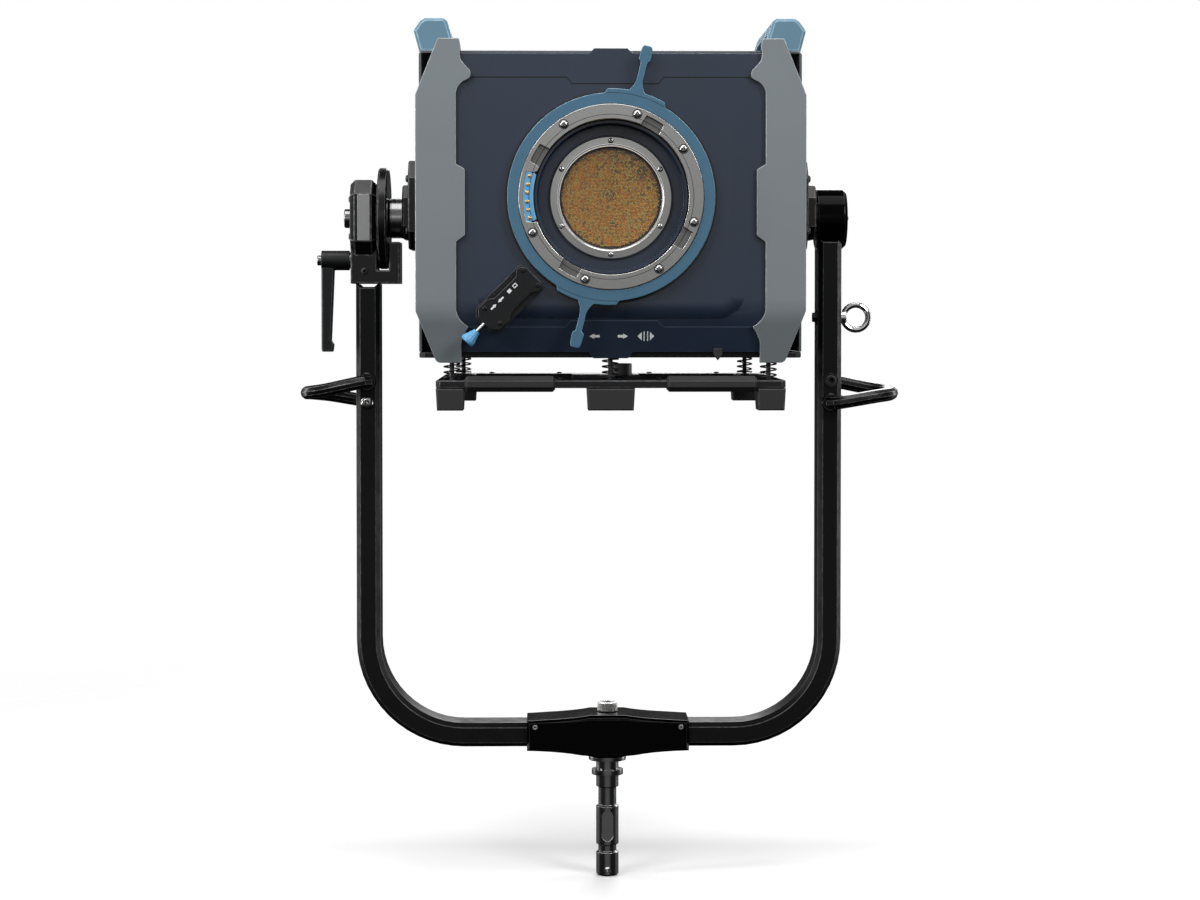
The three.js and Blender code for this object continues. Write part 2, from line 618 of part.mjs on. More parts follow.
function lockingRing() {
  const { inner, outer, pad, tip, front, back } = LOCK_RING;
  const ring = turnedY(hoop(inner, outer, [front, back], 1.2), [0, OPTIC_Z], FINE);
  const pads = [[58.5, 94], [238, 274.5]].map((range) => sector(outer - 4, pad, range, [front + 1, back]));
  const lever = plateXZ(outline([
    [pad - 5, OPTIC_Z - 9], [pad + 4, OPTIC_Z - 7.8], [pad + 9, OPTIC_Z - 3.6], [tip - 22, OPTIC_Z - 3.6],
    [tip - 18, OPTIC_Z - 6.8], [tip - 4, OPTIC_Z - 6.8], [tip, OPTIC_Z - 3.5], [tip, OPTIC_Z + 3.5],
    [tip - 4, OPTIC_Z + 6.8], [tip - 18, OPTIC_Z + 6.8], [tip - 22, OPTIC_Z + 3.6], [pad + 9, OPTIC_Z + 3.6],
    [pad + 4, OPTIC_Z + 7.8], [pad - 5, OPTIC_Z + 9],
  ]), [front + 2, back - 2.5], { bevel: 0.8 });
  return join(ring, ...pads, aroundOptic(lever, 76.3), aroundOptic(lever, 256.3));
}

function latchHousing() {
  const [near, far, half] = [126, 217, 20.5];
  const face = cornered([near, far], [OPTIC_Z - half, OPTIC_Z + half], 6);
  const box = plateXZ(face, [-208, -193.4], { bevel: 2 });
  const bore = rodX(3.6, [126.5, 230], [-200.5, OPTIC_Z], 24);
  const ringClearance = rodY(LOCK_RING.pad + 0.6, [-215, -190], [0, OPTIC_Z], FINE);
  return aroundOptic(cut(box, bore), LATCH_ANGLE).subtract(ringClearance);
}

function latchPlunger() {
  const plunger = turnedX([
    [0, 133], [3.2, 133], [3.2, 227], [4.5, 227], [5, 231], [6.6, 236], [9, 241.5], [9, 244],
    [8, 245], [0, 245],
  ], [-200.5, OPTIC_Z], 20);
  return aroundOptic(plunger, LATCH_ANGLE);
}

add('mount_cup', turnedY([
  [61.8, -174], [88.5, -174], [88.5, -196], [92.2, -196], [92.2, -170], [61.8, -170], [61.8, -174],
], [0, OPTIC_Z], FINE), 'navy');
add('bayonet_ring', bayonetRing(), 'steel');
add('contact_block', sector(STEEL_RING.inner, 106.3, [163, 197.3], [-205, -193.4]), 'skyBlue');
add('lens_bezel', turnedY(hoop(61.5, 73.6, [-178.5, -174.3], 0.8), [0, OPTIC_Z], FINE), 'steel');
add('lens_window', rodY(61.2, [-177, -173], [0, OPTIC_Z], FINE), 'glass');
add('locking_ring', lockingRing(), 'ringBlue');
add('latch_housing', latchHousing(), 'plasticBlack');
add('latch_plunger', latchPlunger(), 'skyBlue');

// ---- sprung base ----
function basePlate() {
  const { bottom, top, half, front, back } = PLATE;
  const plate = plateXY(cornered([-half, half], [front, back], 5), [bottom, top], { bevel: 1 });
  const cuts = [-1, 1].flatMap((side) => {
    const span = (a, b) => [Math.min(side * a, side * b), Math.max(side * a, side * b)];
    return [
      block(span(64, 177.5), [GRIP_BAR_BACK, -138], [bottom - 5, top + 5]),
      block(span(44, 170), [-108, 160], [bottom - 5, top + 5]),
    ];
  });
  const holes = Object.values(SPRING_POSTS).map((at) => rodZ(3.5, [bottom - 5, top + 5], at, 16));
  return cut(plate, ...cuts, ...holes);
}

function foot([x0, x1], [y0, y1], post) {
  const top = PLATE.bottom - GAP;
  const face = outline([[x0 + 1.5, FOOT_BOTTOM], [x1 - 1.5, FOOT_BOTTOM], [x1, top], [x0, top]]);
  const body = plateXZ(face, [y0, y1], { bevel: 1.5 });
  return cut(body, rodZ(7, [479, top + 5], post, 16));
}

function grip() {
  const [low, high] = [493, 512];
  const sleeve = plateYZ(cornered([-195.5, -169.5], [low, high], 6), [-175.6, -67], { bevel: 3 });
  const barDepth = [PLATE.front - GAP, GRIP_BAR_BACK + GAP];
  const bar = block([-185, -60], barDepth, [PLATE.bottom - GAP, PLATE.top + GAP]);
  return cut(sleeve, bar);
}

function baseBolt(at) {
  return turnedZ([[0, 490.5], [5.5, 490.5], [5.5, 497.2], [3, 497.2], [3, 533.2], [0, 533.2]], at, 12);
}

class Helix extends THREE.Curve {
  constructor([x, y], radius, [low, high], turns) {
    super();
    Object.assign(this, { x, y, radius, low, high, turns });
  }

  getPoint(t, target = new THREE.Vector3()) {
    const angle = 2 * Math.PI * this.turns * t;
    return target.set(
      this.x + this.radius * Math.cos(angle), this.y + this.radius * Math.sin(angle),
      this.low + (this.high - this.low) * t,
    );
  }
}

function spring(at) {
  const section = new THREE.Shape();
  section.absarc(0, 0, 1, 0, 2 * Math.PI);
  const path = new Helix(at, 9.5, [PLATE.top + 1.4, PAN_BOTTOM - 1.4], 4.25);
  return solid(new THREE.ExtrudeGeometry(section, { steps: 34, extrudePath: path, curveSegments: 2 }));
}

add('base_plate', basePlate(), 'plasticBlack');
const FEET = {
  front_left: [[-210.5, -176], [-190, -142]],
  front_right: [[176, 210.5], [-190, -142]],
  front_centre: [[-29, 29], [-190, -142]],
  rear_left: [[-205, -170], [165, 204]],
  rear_right: [[170, 205], [165, 204]],
};
for (const [place, at] of Object.entries(SPRING_POSTS)) {
  add(`base_foot_${place}`, foot(...FEET[place], at), 'rubber');
  add(`base_bolt_${place}`, baseBolt(at), 'steel');
  add(`base_spring_${place}`, spring(at), 'steel');
}
bothSides('base_grip', grip, 'rubber');

export default part;
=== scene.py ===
import json
import math
import random

import bmesh
import bpy
from mathutils import Matrix, Vector

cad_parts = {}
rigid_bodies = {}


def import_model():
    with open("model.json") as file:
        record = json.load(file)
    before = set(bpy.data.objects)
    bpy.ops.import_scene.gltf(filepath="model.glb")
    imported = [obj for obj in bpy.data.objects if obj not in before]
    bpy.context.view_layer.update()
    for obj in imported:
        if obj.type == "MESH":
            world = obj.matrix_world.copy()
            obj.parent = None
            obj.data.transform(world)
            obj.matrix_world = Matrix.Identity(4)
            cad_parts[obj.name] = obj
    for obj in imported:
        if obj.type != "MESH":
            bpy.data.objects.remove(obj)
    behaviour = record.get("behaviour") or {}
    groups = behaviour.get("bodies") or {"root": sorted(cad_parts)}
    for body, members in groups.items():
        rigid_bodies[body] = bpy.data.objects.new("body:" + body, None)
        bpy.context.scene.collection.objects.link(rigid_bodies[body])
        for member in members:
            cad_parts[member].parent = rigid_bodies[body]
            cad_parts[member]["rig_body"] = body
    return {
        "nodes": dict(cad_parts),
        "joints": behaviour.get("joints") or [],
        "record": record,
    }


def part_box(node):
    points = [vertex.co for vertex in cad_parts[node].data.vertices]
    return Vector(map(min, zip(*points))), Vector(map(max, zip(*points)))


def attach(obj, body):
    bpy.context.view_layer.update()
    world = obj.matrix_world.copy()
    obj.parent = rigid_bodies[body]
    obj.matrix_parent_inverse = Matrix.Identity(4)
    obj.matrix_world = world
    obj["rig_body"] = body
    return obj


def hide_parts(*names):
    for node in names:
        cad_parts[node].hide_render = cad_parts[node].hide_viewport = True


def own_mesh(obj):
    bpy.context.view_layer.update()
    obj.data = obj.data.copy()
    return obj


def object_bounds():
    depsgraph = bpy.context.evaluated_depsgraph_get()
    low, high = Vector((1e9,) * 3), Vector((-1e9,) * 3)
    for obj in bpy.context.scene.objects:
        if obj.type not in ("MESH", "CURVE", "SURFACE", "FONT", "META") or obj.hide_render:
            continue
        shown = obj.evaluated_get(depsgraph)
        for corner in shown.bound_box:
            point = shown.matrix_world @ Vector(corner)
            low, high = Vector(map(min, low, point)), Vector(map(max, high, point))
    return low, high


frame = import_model()
cad_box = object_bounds()
nodes = frame["nodes"]
bodies = frame["record"]["behaviour"]["bodies"]
body_of_node = {n: b for b, members in bodies.items() for n in members}
slot_of_node = {s["node"]: s["material_slot"] for s in frame["record"]["subparts"]}

# Lengths below are millimetres unless a name says otherwise.
MM = 0.001
ring_low, ring_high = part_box("bayonet_ring")
OPTIC_X = (ring_low.x + ring_high.x) / 2 / MM
OPTIC_Z = (ring_low.z + ring_high.z) / 2 / MM
RING_FRONT = ring_low.y / MM
plateau_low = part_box("front_panel")[0]
PLATEAU_Y = plateau_low.y / MM
PANEL_Y = PLATEAU_Y + 9
LEAN_TOP = 604
ARM_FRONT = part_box("yoke_tube")[0].y / MM
ARM_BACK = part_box("yoke_tube")[1].y / MM
JOINTS = {j["name"]: j for j in frame["joints"]}
TILT_Z = JOINTS["head_tilt"]["pos_m"][2] / MM


# ---- materials ----
def linear(code):
    """An sRGB hex colour as linear RGBA."""
    parts = [int(code[i:i + 2], 16) / 255 for i in (0, 2, 4)]
    return [c / 12.92 if c <= 0.04045 else ((c + 0.055) / 1.055) ** 2.4 for c in parts] + [1]


class Paint:
    """One procedural material: a tinted, grained surface with its own bump and roughness."""

    def __init__(self, name, color, rough, metallic=0.0, specular=0.5, coat=0.0):
        self.mat = bpy.data.materials.new(name)
        self.mat.use_nodes = True
        self.tree = self.mat.node_tree
        self.shader = self.tree.nodes["Principled BSDF"]
        self.shader.inputs["Metallic"].default_value = metallic
        self.shader.inputs["Specular IOR Level"].default_value = specular
        self.shader.inputs["Coat Weight"].default_value = coat
        self.shader.inputs["Coat Roughness"].default_value = 0.12
        self.shader.inputs["Base Color"].default_value = linear(color)
        self.shader.inputs["Roughness"].default_value = rough
        self.color = linear(color)
        self.rough = rough
        self.space = self.node("ShaderNodeTexCoord").outputs["Object"]
        self.bump = None

    def node(self, kind, **inputs):
        made = self.tree.nodes.new(kind)
        for key, value in inputs.items():
            self.feed(made.inputs[key.replace("_", " ")], value)
        return made

    def feed(self, socket, value):
        if isinstance(value, bpy.types.NodeSocket):
            self.tree.links.new(value, socket)
        else:
            socket.default_value = value

    def noise(self, scale, detail=3.0, stretch=None, roughness=0.55):
        space = self.space
        if stretch:
            space = self.node("ShaderNodeMapping", Vector=space, Scale=stretch).outputs["Vector"]
        return self.node(
            "ShaderNodeTexNoise", Vector=space, Scale=scale, Detail=detail, Roughness=roughness,
        ).outputs["Fac"]

    def radius(self, centre, axis):
        """Distance in metres from a line through centre along the axis."""
        away = self.node("ShaderNodeVectorMath")
        away.operation = "SUBTRACT"
        self.feed(away.inputs[0], self.space)
        away.inputs[1].default_value = centre
        flat = self.node("ShaderNodeVectorMath")
        flat.operation = "MULTIPLY"
        self.feed(flat.inputs[0], away.outputs[0])
        flat.inputs[1].default_value = [0.0 if i == axis else 1.0 for i in range(3)]
        length = self.node("ShaderNodeVectorMath")
        length.operation = "LENGTH"
        self.feed(length.inputs[0], flat.outputs[0])
        return length.outputs["Value"]

    def rings(self, centre, axis, scale):
        """Fine turning marks round a line."""
        made = self.node("ShaderNodeTexNoise")
        made.noise_dimensions = "1D"
        for key, value in (("W", self.radius(centre, axis)), ("Scale", scale), ("Detail", 3.0)):
            self.feed(made.inputs[key], value)
        return made.outputs["Fac"]

    def cells(self, scale, feature="F1", output="Distance"):
        made = self.node("ShaderNodeTexVoronoi")
        made.feature = feature
        self.feed(made.inputs["Vector"], self.space)
        self.feed(made.inputs["Scale"], scale)
        return made.outputs[output]

    def span(self, value, low, high, start=0.3, end=0.7):
        return self.node(
            "ShaderNodeMapRange", Value=value, From_Min=start, From_Max=end, To_Min=low, To_Max=high,
        ).outputs["Result"]

    def tint(self, factor, color):
        """Moves the colour so far towards another, by factor."""
        mix = self.node("ShaderNodeMix")
        mix.data_type = "RGBA"
        self.feed(mix.inputs[0], factor)
        base = self.shader.inputs["Base Color"]
        self.feed(mix.inputs[6], base.links[0].from_socket if base.links else self.color)
        self.feed(mix.inputs[7], color)
        self.feed(base, mix.outputs[2])
        return self

    def vary(self, value, low, high, start=0.3, end=0.7):
        self.feed(self.shader.inputs["Roughness"], self.span(value, low, high, start, end))
        return self

    def relief(self, value, strength, distance):
        made = self.node("ShaderNodeBump", Strength=strength, Distance=distance, Height=value)
        if self.bump:
            self.feed(made.inputs["Normal"], self.bump)
        self.bump = made.outputs["Normal"]
        self.feed(self.shader.inputs["Normal"], self.bump)
        return self


def shade(color, share):
    """A linear colour made lighter (over 1) or darker (under 1)."""
    return [min(1.0, c * share) for c in color[:3]] + [1]


def coated(name, color, rough, grain, depth, metallic=0.0, specular=0.5, coat=0.0, worn=None):
    """Paint, powder coat or moulded plastic: fine grain, faint mottling, and scuffs."""
    p = Paint(name, color, rough, metallic, specular, coat)
    p.tint(p.span(p.noise(9, 4), 0.0, 0.55), shade(p.color, 0.86))
    p.tint(p.span(p.noise(grain, 2), 0.0, 0.5), shade(p.color, 1.22))
    p.vary(p.noise(45, 3), rough - 0.03, rough + 0.05, 0.2, 0.8)
    p.relief(p.noise(grain, 2), 0.35, depth)
    p.relief(p.noise(grain * 0.35, 2), 0.15, depth)
    if worn:
        p.tint(p.span(p.noise(160, 5), 0.0, 0.85, 0.44, 0.60), linear(worn))
    return p.mat


def metal(name, color, rough, grain, depth, stretch=None, turned=None, specular=0.5):
    """Bare metal: brushed along one direction, or turned round a line."""
    p = Paint(name, color, rough, 1.0, specular)
    marks = p.rings(*turned, grain) if turned else p.noise(grain, 3, stretch)
    p.tint(p.span(marks, 0.0, 0.5), shade(p.color, 0.72))
    p.tint(p.span(p.noise(30, 4), 0.0, 0.3), shade(p.color, 0.8))
    p.vary(marks, rough - 0.08, rough + 0.12)
    p.relief(marks, 0.3, depth)
    p.relief(p.noise(260, 3), 0.1, depth)
    return p.mat


OPTIC = (OPTIC_X * MM, 0.0, OPTIC_Z * MM)
ALONG_Z = (1, 1, 0.06)


def leather_coat():
    """The yoke's textured powder coat: rounded grains with fine creases."""
    p = Paint("powder_coat", "0d0d0d", 0.42, 0.0, 0.13)
    grains = p.cells(520, "SMOOTH_F1")
    p.tint(p.span(p.noise(7, 4), 0.0, 0.5), shade(p.color, 0.75))
    p.tint(p.span(grains, 0.45, 0.0, 0.1, 0.5), shade(p.color, 1.7))
    p.vary(p.noise(60, 5), 0.36, 0.54)
    p.relief(grains, 0.38, 0.00022)
    p.relief(p.noise(1400, 2), 0.12, 0.0001)
    return p.mat


def ring_blue():
    """Satin anodising over turned metal."""
    p = Paint("ring_blue", "466c84", 0.38, 0.25, 0.4)
    marks = p.rings(OPTIC, 1, 900)
    p.tint(p.span(marks, 0.0, 0.6), shade(p.color, 1.25))
    p.tint(p.span(p.noise(25, 4), 0.0, 0.35), shade(p.color, 0.8))
    p.vary(marks, 0.3, 0.44)
    p.relief(marks, 0.3, 0.00006)
    return p.mat


def led_glow(name, color, other):
    """One kind of emitter under its lens."""
    p = Paint(name, color, 0.4, 0.0, 0.2)
    p.tint(p.span(p.noise(900, 3), 0.0, 0.9), linear(other))
    p.vary(p.noise(300, 3), 0.22, 0.4)
    p.relief(p.noise(1500, 2), 0.2, 0.0001)
    return p.mat


def window_glass():
    p = Paint("window_glass", "e8f0f2", 0.04, 0.0, 0.5)
    p.vary(p.noise(40, 3), 0.02, 0.06)
    p.shader.inputs["Alpha"].default_value = 0.02
    return p.mat


# Most looks pair a face material with a lighter edge material for rounded edges: the lighter edge is a
# painted highlight, and the worn patches on it are wear.
LOOKS = {
    "black_powder_coat": (leather_coat(), coated("powder_edge", "2a2a2a", 0.32, 700, 0.00006, worn="4a4a4a")),
    "smooth_black": (
        coated("smooth_black", "0a0a0a", 0.24, 900, 0.00004, specular=0.3),
        coated("smooth_black_edge", "3a3a3a", 0.24, 700, 0.00004, worn="6a6a6a"),
    ),
    "gloss_black": (
        coated("gloss_black", "020202", 0.12, 600, 0.00002, specular=0.05),
        coated("gloss_black_edge", "101011", 0.14, 600, 0.00002, specular=0.4, worn="1c1c1e"),
    ),
    "bright_steel": (
        metal("turned_steel", "848484", 0.18, 900, 0.00004, turned=((0, 0, 0), 2)),
        metal("steel_edge", "a4a4a4", 0.24, 500, 0.00003),
    ),
    "ring_steel": (
        metal("ring_steel", "a0a09e", 0.3, 1100, 0.00005, turned=(OPTIC, 1)),
        metal("ring_steel_edge", "dcdcda", 0.22, 700, 0.00003, turned=(OPTIC, 1)),
    ),
    # Lighter grey face; on the tilt clamp it is a painted reflection.
    "machined_face_and_painted_reflection": (
        coated("machined_face_and_painted_reflection", "8c8c8c", 0.4, 900, 0.00004, specular=0.4),
        coated("machined_edge", "a8a8a8", 0.34, 700, 0.00003, worn="c4c4c4"),
    ),
    # Painted shade: a darker copy of the ring's turned steel for the recessed slot floors.
    "slot_steel_painted_shade": (
        metal("slot_steel_painted_shade", "7b7b79", 0.4, 900, 0.00005, turned=(OPTIC, 1)),
        metal("slot_steel_edge", "9a9a98", 0.34, 700, 0.00003, turned=(OPTIC, 1)),
    ),
    "chrome_plate": (
        metal("chrome_plate", "e2e2e2", 0.09, 120, 0.00002),
        metal("chrome_edge", "f0f0f0", 0.08, 120, 0.00002),
    ),
    "friction_lining": (coated("lining", "332f2b", 0.85, 500, 0.0002),) * 2,
    "grey_paint": (
        coated("grey_paint", "7c8387", 0.42, 1100, 0.00006, metallic=0.3),
        coated("grey_edge", "979da0", 0.32, 700, 0.00004, metallic=0.3, worn="b4b9bc"),
    ),
    "shell_grey": (
        coated("shell_grey", "5a6063", 0.45, 1100, 0.00006, metallic=0.2),
        coated("shell_edge", "6d7376", 0.36, 700, 0.00004, worn="8a9092"),
    ),
    "navy_paint": (
        coated("navy_paint", "182538", 0.4, 1300, 0.00006, specular=0.6),
        coated("navy_edge", "343d4f", 0.32, 700, 0.00004, worn="4a5468"),
    ),
    "handle_blue": (
        coated("handle_blue", "5f8093", 0.55, 900, 0.00006, specular=0.3),
        coated("handle_edge", "7fa0b2", 0.46, 700, 0.00004, specular=0.3, worn="9cb8c8"),
    ),
    "ring_blue": (
        ring_blue(),
        coated("ring_blue_edge", "6289a1", 0.3, 600, 0.00003, metallic=0.2, worn="93b6ca"),
    ),
    "sky_blue": (
        coated("sky_blue", "5a9ecb", 0.32, 700, 0.00004),
        coated("sky_edge", "86bfe2", 0.28, 700, 0.00003, worn="b4ddf6"),
    ),
    "black_plastic": (
        coated("black_plastic", "0f1012", 0.4, 1100, 0.00008, specular=0.28),
        coated("plastic_edge", "2c2d30", 0.34, 700, 0.00005, worn="4c4d50"),
    ),
    "black_metal": (
        coated("black_metal", "101011", 0.34, 1000, 0.00005, specular=0.3),
        coated("black_metal_edge", "36373a", 0.3, 700, 0.00004, worn="55565a"),
    ),
    # Black rubber for the pan stop; the same look gives the painted shadow strips.
    "black_rubber": (
        coated("black_rubber", "272727", 0.6, 800, 0.00014, specular=0.35),
        coated("rubber_edge", "2f2f2f", 0.56, 700, 0.0001, worn="3b3b3b"),
    ),
    "bare_aluminium": (
        metal("bare_aluminium", "b6b8ba", 0.36, 700, 0.00005, ALONG_Z),
        metal("aluminium_edge", "d2d4d6", 0.3, 500, 0.00003),
    ),
    # Near-black strips and rings in seams, gaps and at hole rims: painted shade.
    "painted_gap_shade": (coated("painted_gap_shade", "050506", 0.8, 600, 0.00005),) * 2,
    # A lighter line on the panel's lower step: painted highlight.
    "painted_highlight": (coated("painted_highlight", "4a5364", 0.5, 600, 0.00004),) * 2,
    "mark_white": (coated("mark_white", "dfe1e2", 0.5, 600, 0.00003),) * 2,
    "gold_pin": (
        metal("gold_pin", "d8b46a", 0.22, 500, 0.00003),
        metal("gold_edge", "f0d69a", 0.2, 500, 0.00003),
    ),
    "screw_steel": (
        metal("screw_steel", "bdbdbb", 0.24, 700, 0.00003),
        metal("screw_edge", "dededc", 0.2, 500, 0.00003),
    ),
    "clear_glass": (window_glass(),) * 2,
    "amber_led": (led_glow("led_board", "3b2b18", "241a10"),) * 2,
}
LED_KINDS = [
    led_glow("led_orange", "d68e30", "b07426"), led_glow("led_gold", "d4aa50", "ac8c3e"),
    led_glow("led_olive", "b2a656", "8f8848"), led_glow("led_brown", "b4783a", "90602c"),
    led_glow("led_dark", "80683e", "604c32"),
]


# ---- mesh helpers ----
def baked(obj):
    """The object's mesh with its modifiers applied; the object goes."""
    graph = bpy.context.evaluated_depsgraph_get()
    mesh = bpy.data.meshes.new_from_object(obj.evaluated_get(graph))
    bpy.data.objects.remove(obj)
    return mesh


def smooth(mesh, angle=34):
    """Smooth shading with sharp edges above an angle, and flat faces kept flat."""
    mesh.polygons.foreach_set("use_smooth", [True] * len(mesh.polygons))
    mesh.set_sharp_from_angle(angle=math.radians(angle))
    obj = bpy.data.objects.new("smoothing", mesh)
    bpy.context.scene.collection.objects.link(obj)
    normals = obj.modifiers.new("normals", "WEIGHTED_NORMAL")
    normals.keep_sharp = True
    normals.weight = 80
    return baked(obj)


def place(mesh, name, look, body, stands_for=(), millimetres=True):
    """A finished mesh becomes a piece on its body, with the look's face and edge materials."""
    if millimetres:
        mesh.transform(Matrix.Scale(MM, 4))
    if not mesh.materials:
        for mat in LOOKS[look]:
            mesh.materials.append(mat)
    obj = bpy.data.objects.new(name, mesh)
    bpy.context.scene.collection.objects.link(obj)
    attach(obj, body)
    if stands_for:
        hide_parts(*stands_for)
    return obj


def softened(mesh, width, segments=2, angle=28):
    """Rounds every edge sharper than the angle, and gives the rounding the lighter edge material, a painted
    edge highlight.
    """
    obj = bpy.data.objects.new("softening", mesh)
    bpy.context.scene.collection.objects.link(obj)
    mesh.polygons.foreach_set("use_smooth", [True] * len(mesh.polygons))
    bevel = obj.modifiers.new("edge", "BEVEL")
    bevel.width = width
    bevel.segments = segments
    bevel.limit_method = "ANGLE"
    bevel.angle_limit = math.radians(angle)
    bevel.material = 1
    bevel.use_clamp_overlap = False
    bevel.miter_outer = "MITER_ARC"
    normals = obj.modifiers.new("normals", "WEIGHTED_NORMAL")
    normals.keep_sharp = False
    normals.weight = 80
    return baked(obj)


def cleaned(node, weld=4e-5):
    """A copy of a CAD node's mesh, welded and with its flat faces whole again."""
    bm = bmesh.new()
    bm.from_mesh(nodes[node].data)
    bmesh.ops.remove_doubles(bm, verts=bm.verts, dist=weld)
    bmesh.ops.dissolve_degenerate(bm, edges=bm.edges, dist=1e-6)
    bmesh.ops.dissolve_limit(bm, angle_limit=math.radians(0.8), verts=bm.verts, edges=bm.edges)
    mesh = bpy.data.meshes.new(node)
    bm.to_mesh(mesh)
    bm.free()
    return mesh


def refined(node, look=None, width=0.6, segments=2, angle=28):
    """A CAD node with rounded edges in the lighter edge material (painted highlight, with worn patches), and
    its finished material.
    """
    mesh = cleaned(node)
    for mat in LOOKS[look or slot_of_node[node]]:
        mesh.materials.append(mat)
    mesh = softened(mesh, width * MM, segments, angle)
    return place(
        mesh, f"{node}_fine", None, body_of_node[node], [node], millimetres=False,
    )


def lathed(profile, sides=48, start=0.0, sweep=360.0):
    """Turns [radius, height] pairs about +Z. A radius may be a function of the angle."""
    bm = bmesh.new()
    whole = sweep >= 360
    count = sides if whole else sides + 1
    rows = []
    for radius, height in profile:
        row = []
        for i in range(count):
            a = math.radians(start + sweep * i / sides)
            r = radius(a) if callable(radius) else radius
            row.append(bm.verts.new((r * math.cos(a), r * math.sin(a), height)))
        rows.append(row)
    for low, high in zip(rows, rows[1:]):
        for i in range(sides):
            j = (i + 1) % count
            bm.faces.new((low[i], low[j], high[j], high[i]))
    bmesh.ops.remove_doubles(bm, verts=bm.verts, dist=1e-4)
    bmesh.ops.recalc_face_normals(bm, faces=bm.faces)
    mesh = bpy.data.meshes.new("lathed")
    bm.to_mesh(mesh)
    bm.free()
    return mesh


def flat_cut(loops, thickness, edge=0.0, steps=2):
    """A plate in XY with rounded edges from closed outlines; inner outlines are holes."""
    curve = bpy.data.curves.new("outline", "CURVE")
    curve.dimensions = "2D"
    curve.fill_mode = "BOTH"
    curve.extrude = thickness / 2 - edge
    curve.bevel_depth = edge
    curve.bevel_resolution = steps
    curve.offset = -edge
    for loop in loops:
        spline = curve.splines.new("POLY")
        spline.points.add(len(loop) - 1)
        for point, (a, b) in zip(spline.points, loop):
            point.co = (a, b, 0, 1)
        spline.use_cyclic_u = True
    holder = bpy.data.objects.new("outline", curve)
    bpy.context.scene.collection.objects.link(holder)
    mesh = baked(holder)
    bm = bmesh.new()
    bm.from_mesh(mesh)
    bmesh.ops.remove_doubles(bm, verts=bm.verts, dist=1e-3)
    bmesh.ops.recalc_face_normals(bm, faces=bm.faces)
    bm.to_mesh(mesh)
    bm.free()
    return mesh


def edged(mesh, depth_axis=2):
    """Gives the slanted faces of a plate the lighter edge material, a painted edge highlight."""
    for face in mesh.polygons:
        across = abs(face.normal[depth_axis])
        face.material_index = 1 if 0.15 < across < 0.97 else 0
    return mesh


TO_FRONT = Matrix(((1, 0, 0, 0), (0, 0, -1, 0), (0, 1, 0, 0), (0, 0, 0, 1)))


def front_plate(loops, front, back, edge=0.5, steps=2):
    """A plate drawn in X and Z as seen from the front, from y = front to y = back."""
    mesh = edged(flat_cut(loops, abs(back - front), edge, steps))
    mesh.transform(Matrix.Translation((0, (front + back) / 2, 0)) @ TO_FRONT)
    return mesh


def joined(*meshes):
    """Several meshes as one, keeping their material numbers."""
    bm = bmesh.new()
    for mesh in meshes:
        bm.from_mesh(mesh)
    whole = bpy.data.meshes.new("joined")
    bm.to_mesh(whole)
    bm.free()
    return whole


def moved(mesh, matrix):
    copy = mesh.copy()
    copy.transform(matrix)
    return copy


def circle(radius, centre=(0, 0), count=160, start=0.0, sweep=360.0):
    whole = sweep >= 360
    steps = count if whole else count + 1
    return [
        (
            centre[0] + radius * math.cos(math.radians(start + sweep * i / count)),
            centre[1] + radius * math.sin(math.radians(start + sweep * i / count)),
        )
        for i in range(steps)
    ]


def rounded(points, radius, steps=5):
    """A closed outline with its corners rounded."""
    out = []
    for i, corner in enumerate(points):
        p, q, r = Vector(points[i - 1]), Vector(corner), Vector(points[(i + 1) % len(points)])
        to_p, to_r = p - q, r - q
        reach = min(radius, to_p.length * 0.45, to_r.length * 0.45)
        a, b = q + to_p.normalized() * reach, q + to_r.normalized() * reach
        for k in range(steps + 1):
            t = k / steps
            out.append(tuple((1 - t) ** 2 * a + 2 * t * (1 - t) * q + t ** 2 * b))
    return out


def about_optic(angle):
    """Puts a shape drawn along +X from the optical axis at an angle, seen from the front."""
    return (
        Matrix.Translation((OPTIC_X, 0, OPTIC_Z)) @ Matrix.Rotation(math.radians(-angle), 4, "Y")
    )


def polar(radius, angle):
    a = math.radians(angle)
    return OPTIC_X + radius * math.cos(a), OPTIC_Z + radius * math.sin(a)


def hexagon(across):
    """A radius by angle that draws a hexagon of that size across its flats."""
    return lambda a: across / 2 / math.cos((a + math.pi / 6) % (math.pi / 3) - math.pi / 6)


def screw(radius, height, socket, domed=True, sides=36):
    """A cap screw along +Z with a hexagon socket; its seat is at 0."""
    edge = 0.35 * radius if domed else 0.12 * radius
    rise = [
        [radius * 1.0, 0], [radius, height - edge], [radius - edge * 0.3, height - edge * 0.35],
        [radius - edge, height], [socket * 0.66, height + (0.05 * radius if domed else 0)],
        [hexagon(socket), height - 0.04 * radius], [hexagon(socket * 0.97), height * 0.3],
        [0, height * 0.25],
    ]
    mesh = lathed([[0, 0]] + rise, sides)
    # The slanted rim takes the lighter edge material: a painted highlight.
    for face in mesh.polygons:
        face.material_index = 1 if 0.2 < face.normal.z < 0.93 else 0
    return smooth(mesh, 40)


TO_MINUS_Y = Matrix.Rotation(math.radians(90), 4, "X")
TO_PLUS_Y = Matrix.Rotation(math.radians(-90), 4, "X")
TO_MINUS_X = Matrix.Rotation(math.radians(-90), 4, "Y")
TO_PLUS_X = Matrix.Rotation(math.radians(90), 4, "Y")


def facing(direction, x, y, z, spin=0.0):
    """Stands a +Z piece at a point, facing that way."""
    return Matrix.Translation((x, y, z)) @ direction @ Matrix.Rotation(math.radians(spin), 4, "Z")


def scatter(mesh, matrices):
    return smooth(joined(*[moved(mesh, m) for m in matrices]), 40)


def fasten(name, head, spots, body="lamp_head", look="black_metal"):
    """One piece of equal fasteners, each standing at a spot."""
    return place(scatter(head, spots), name, look, body)


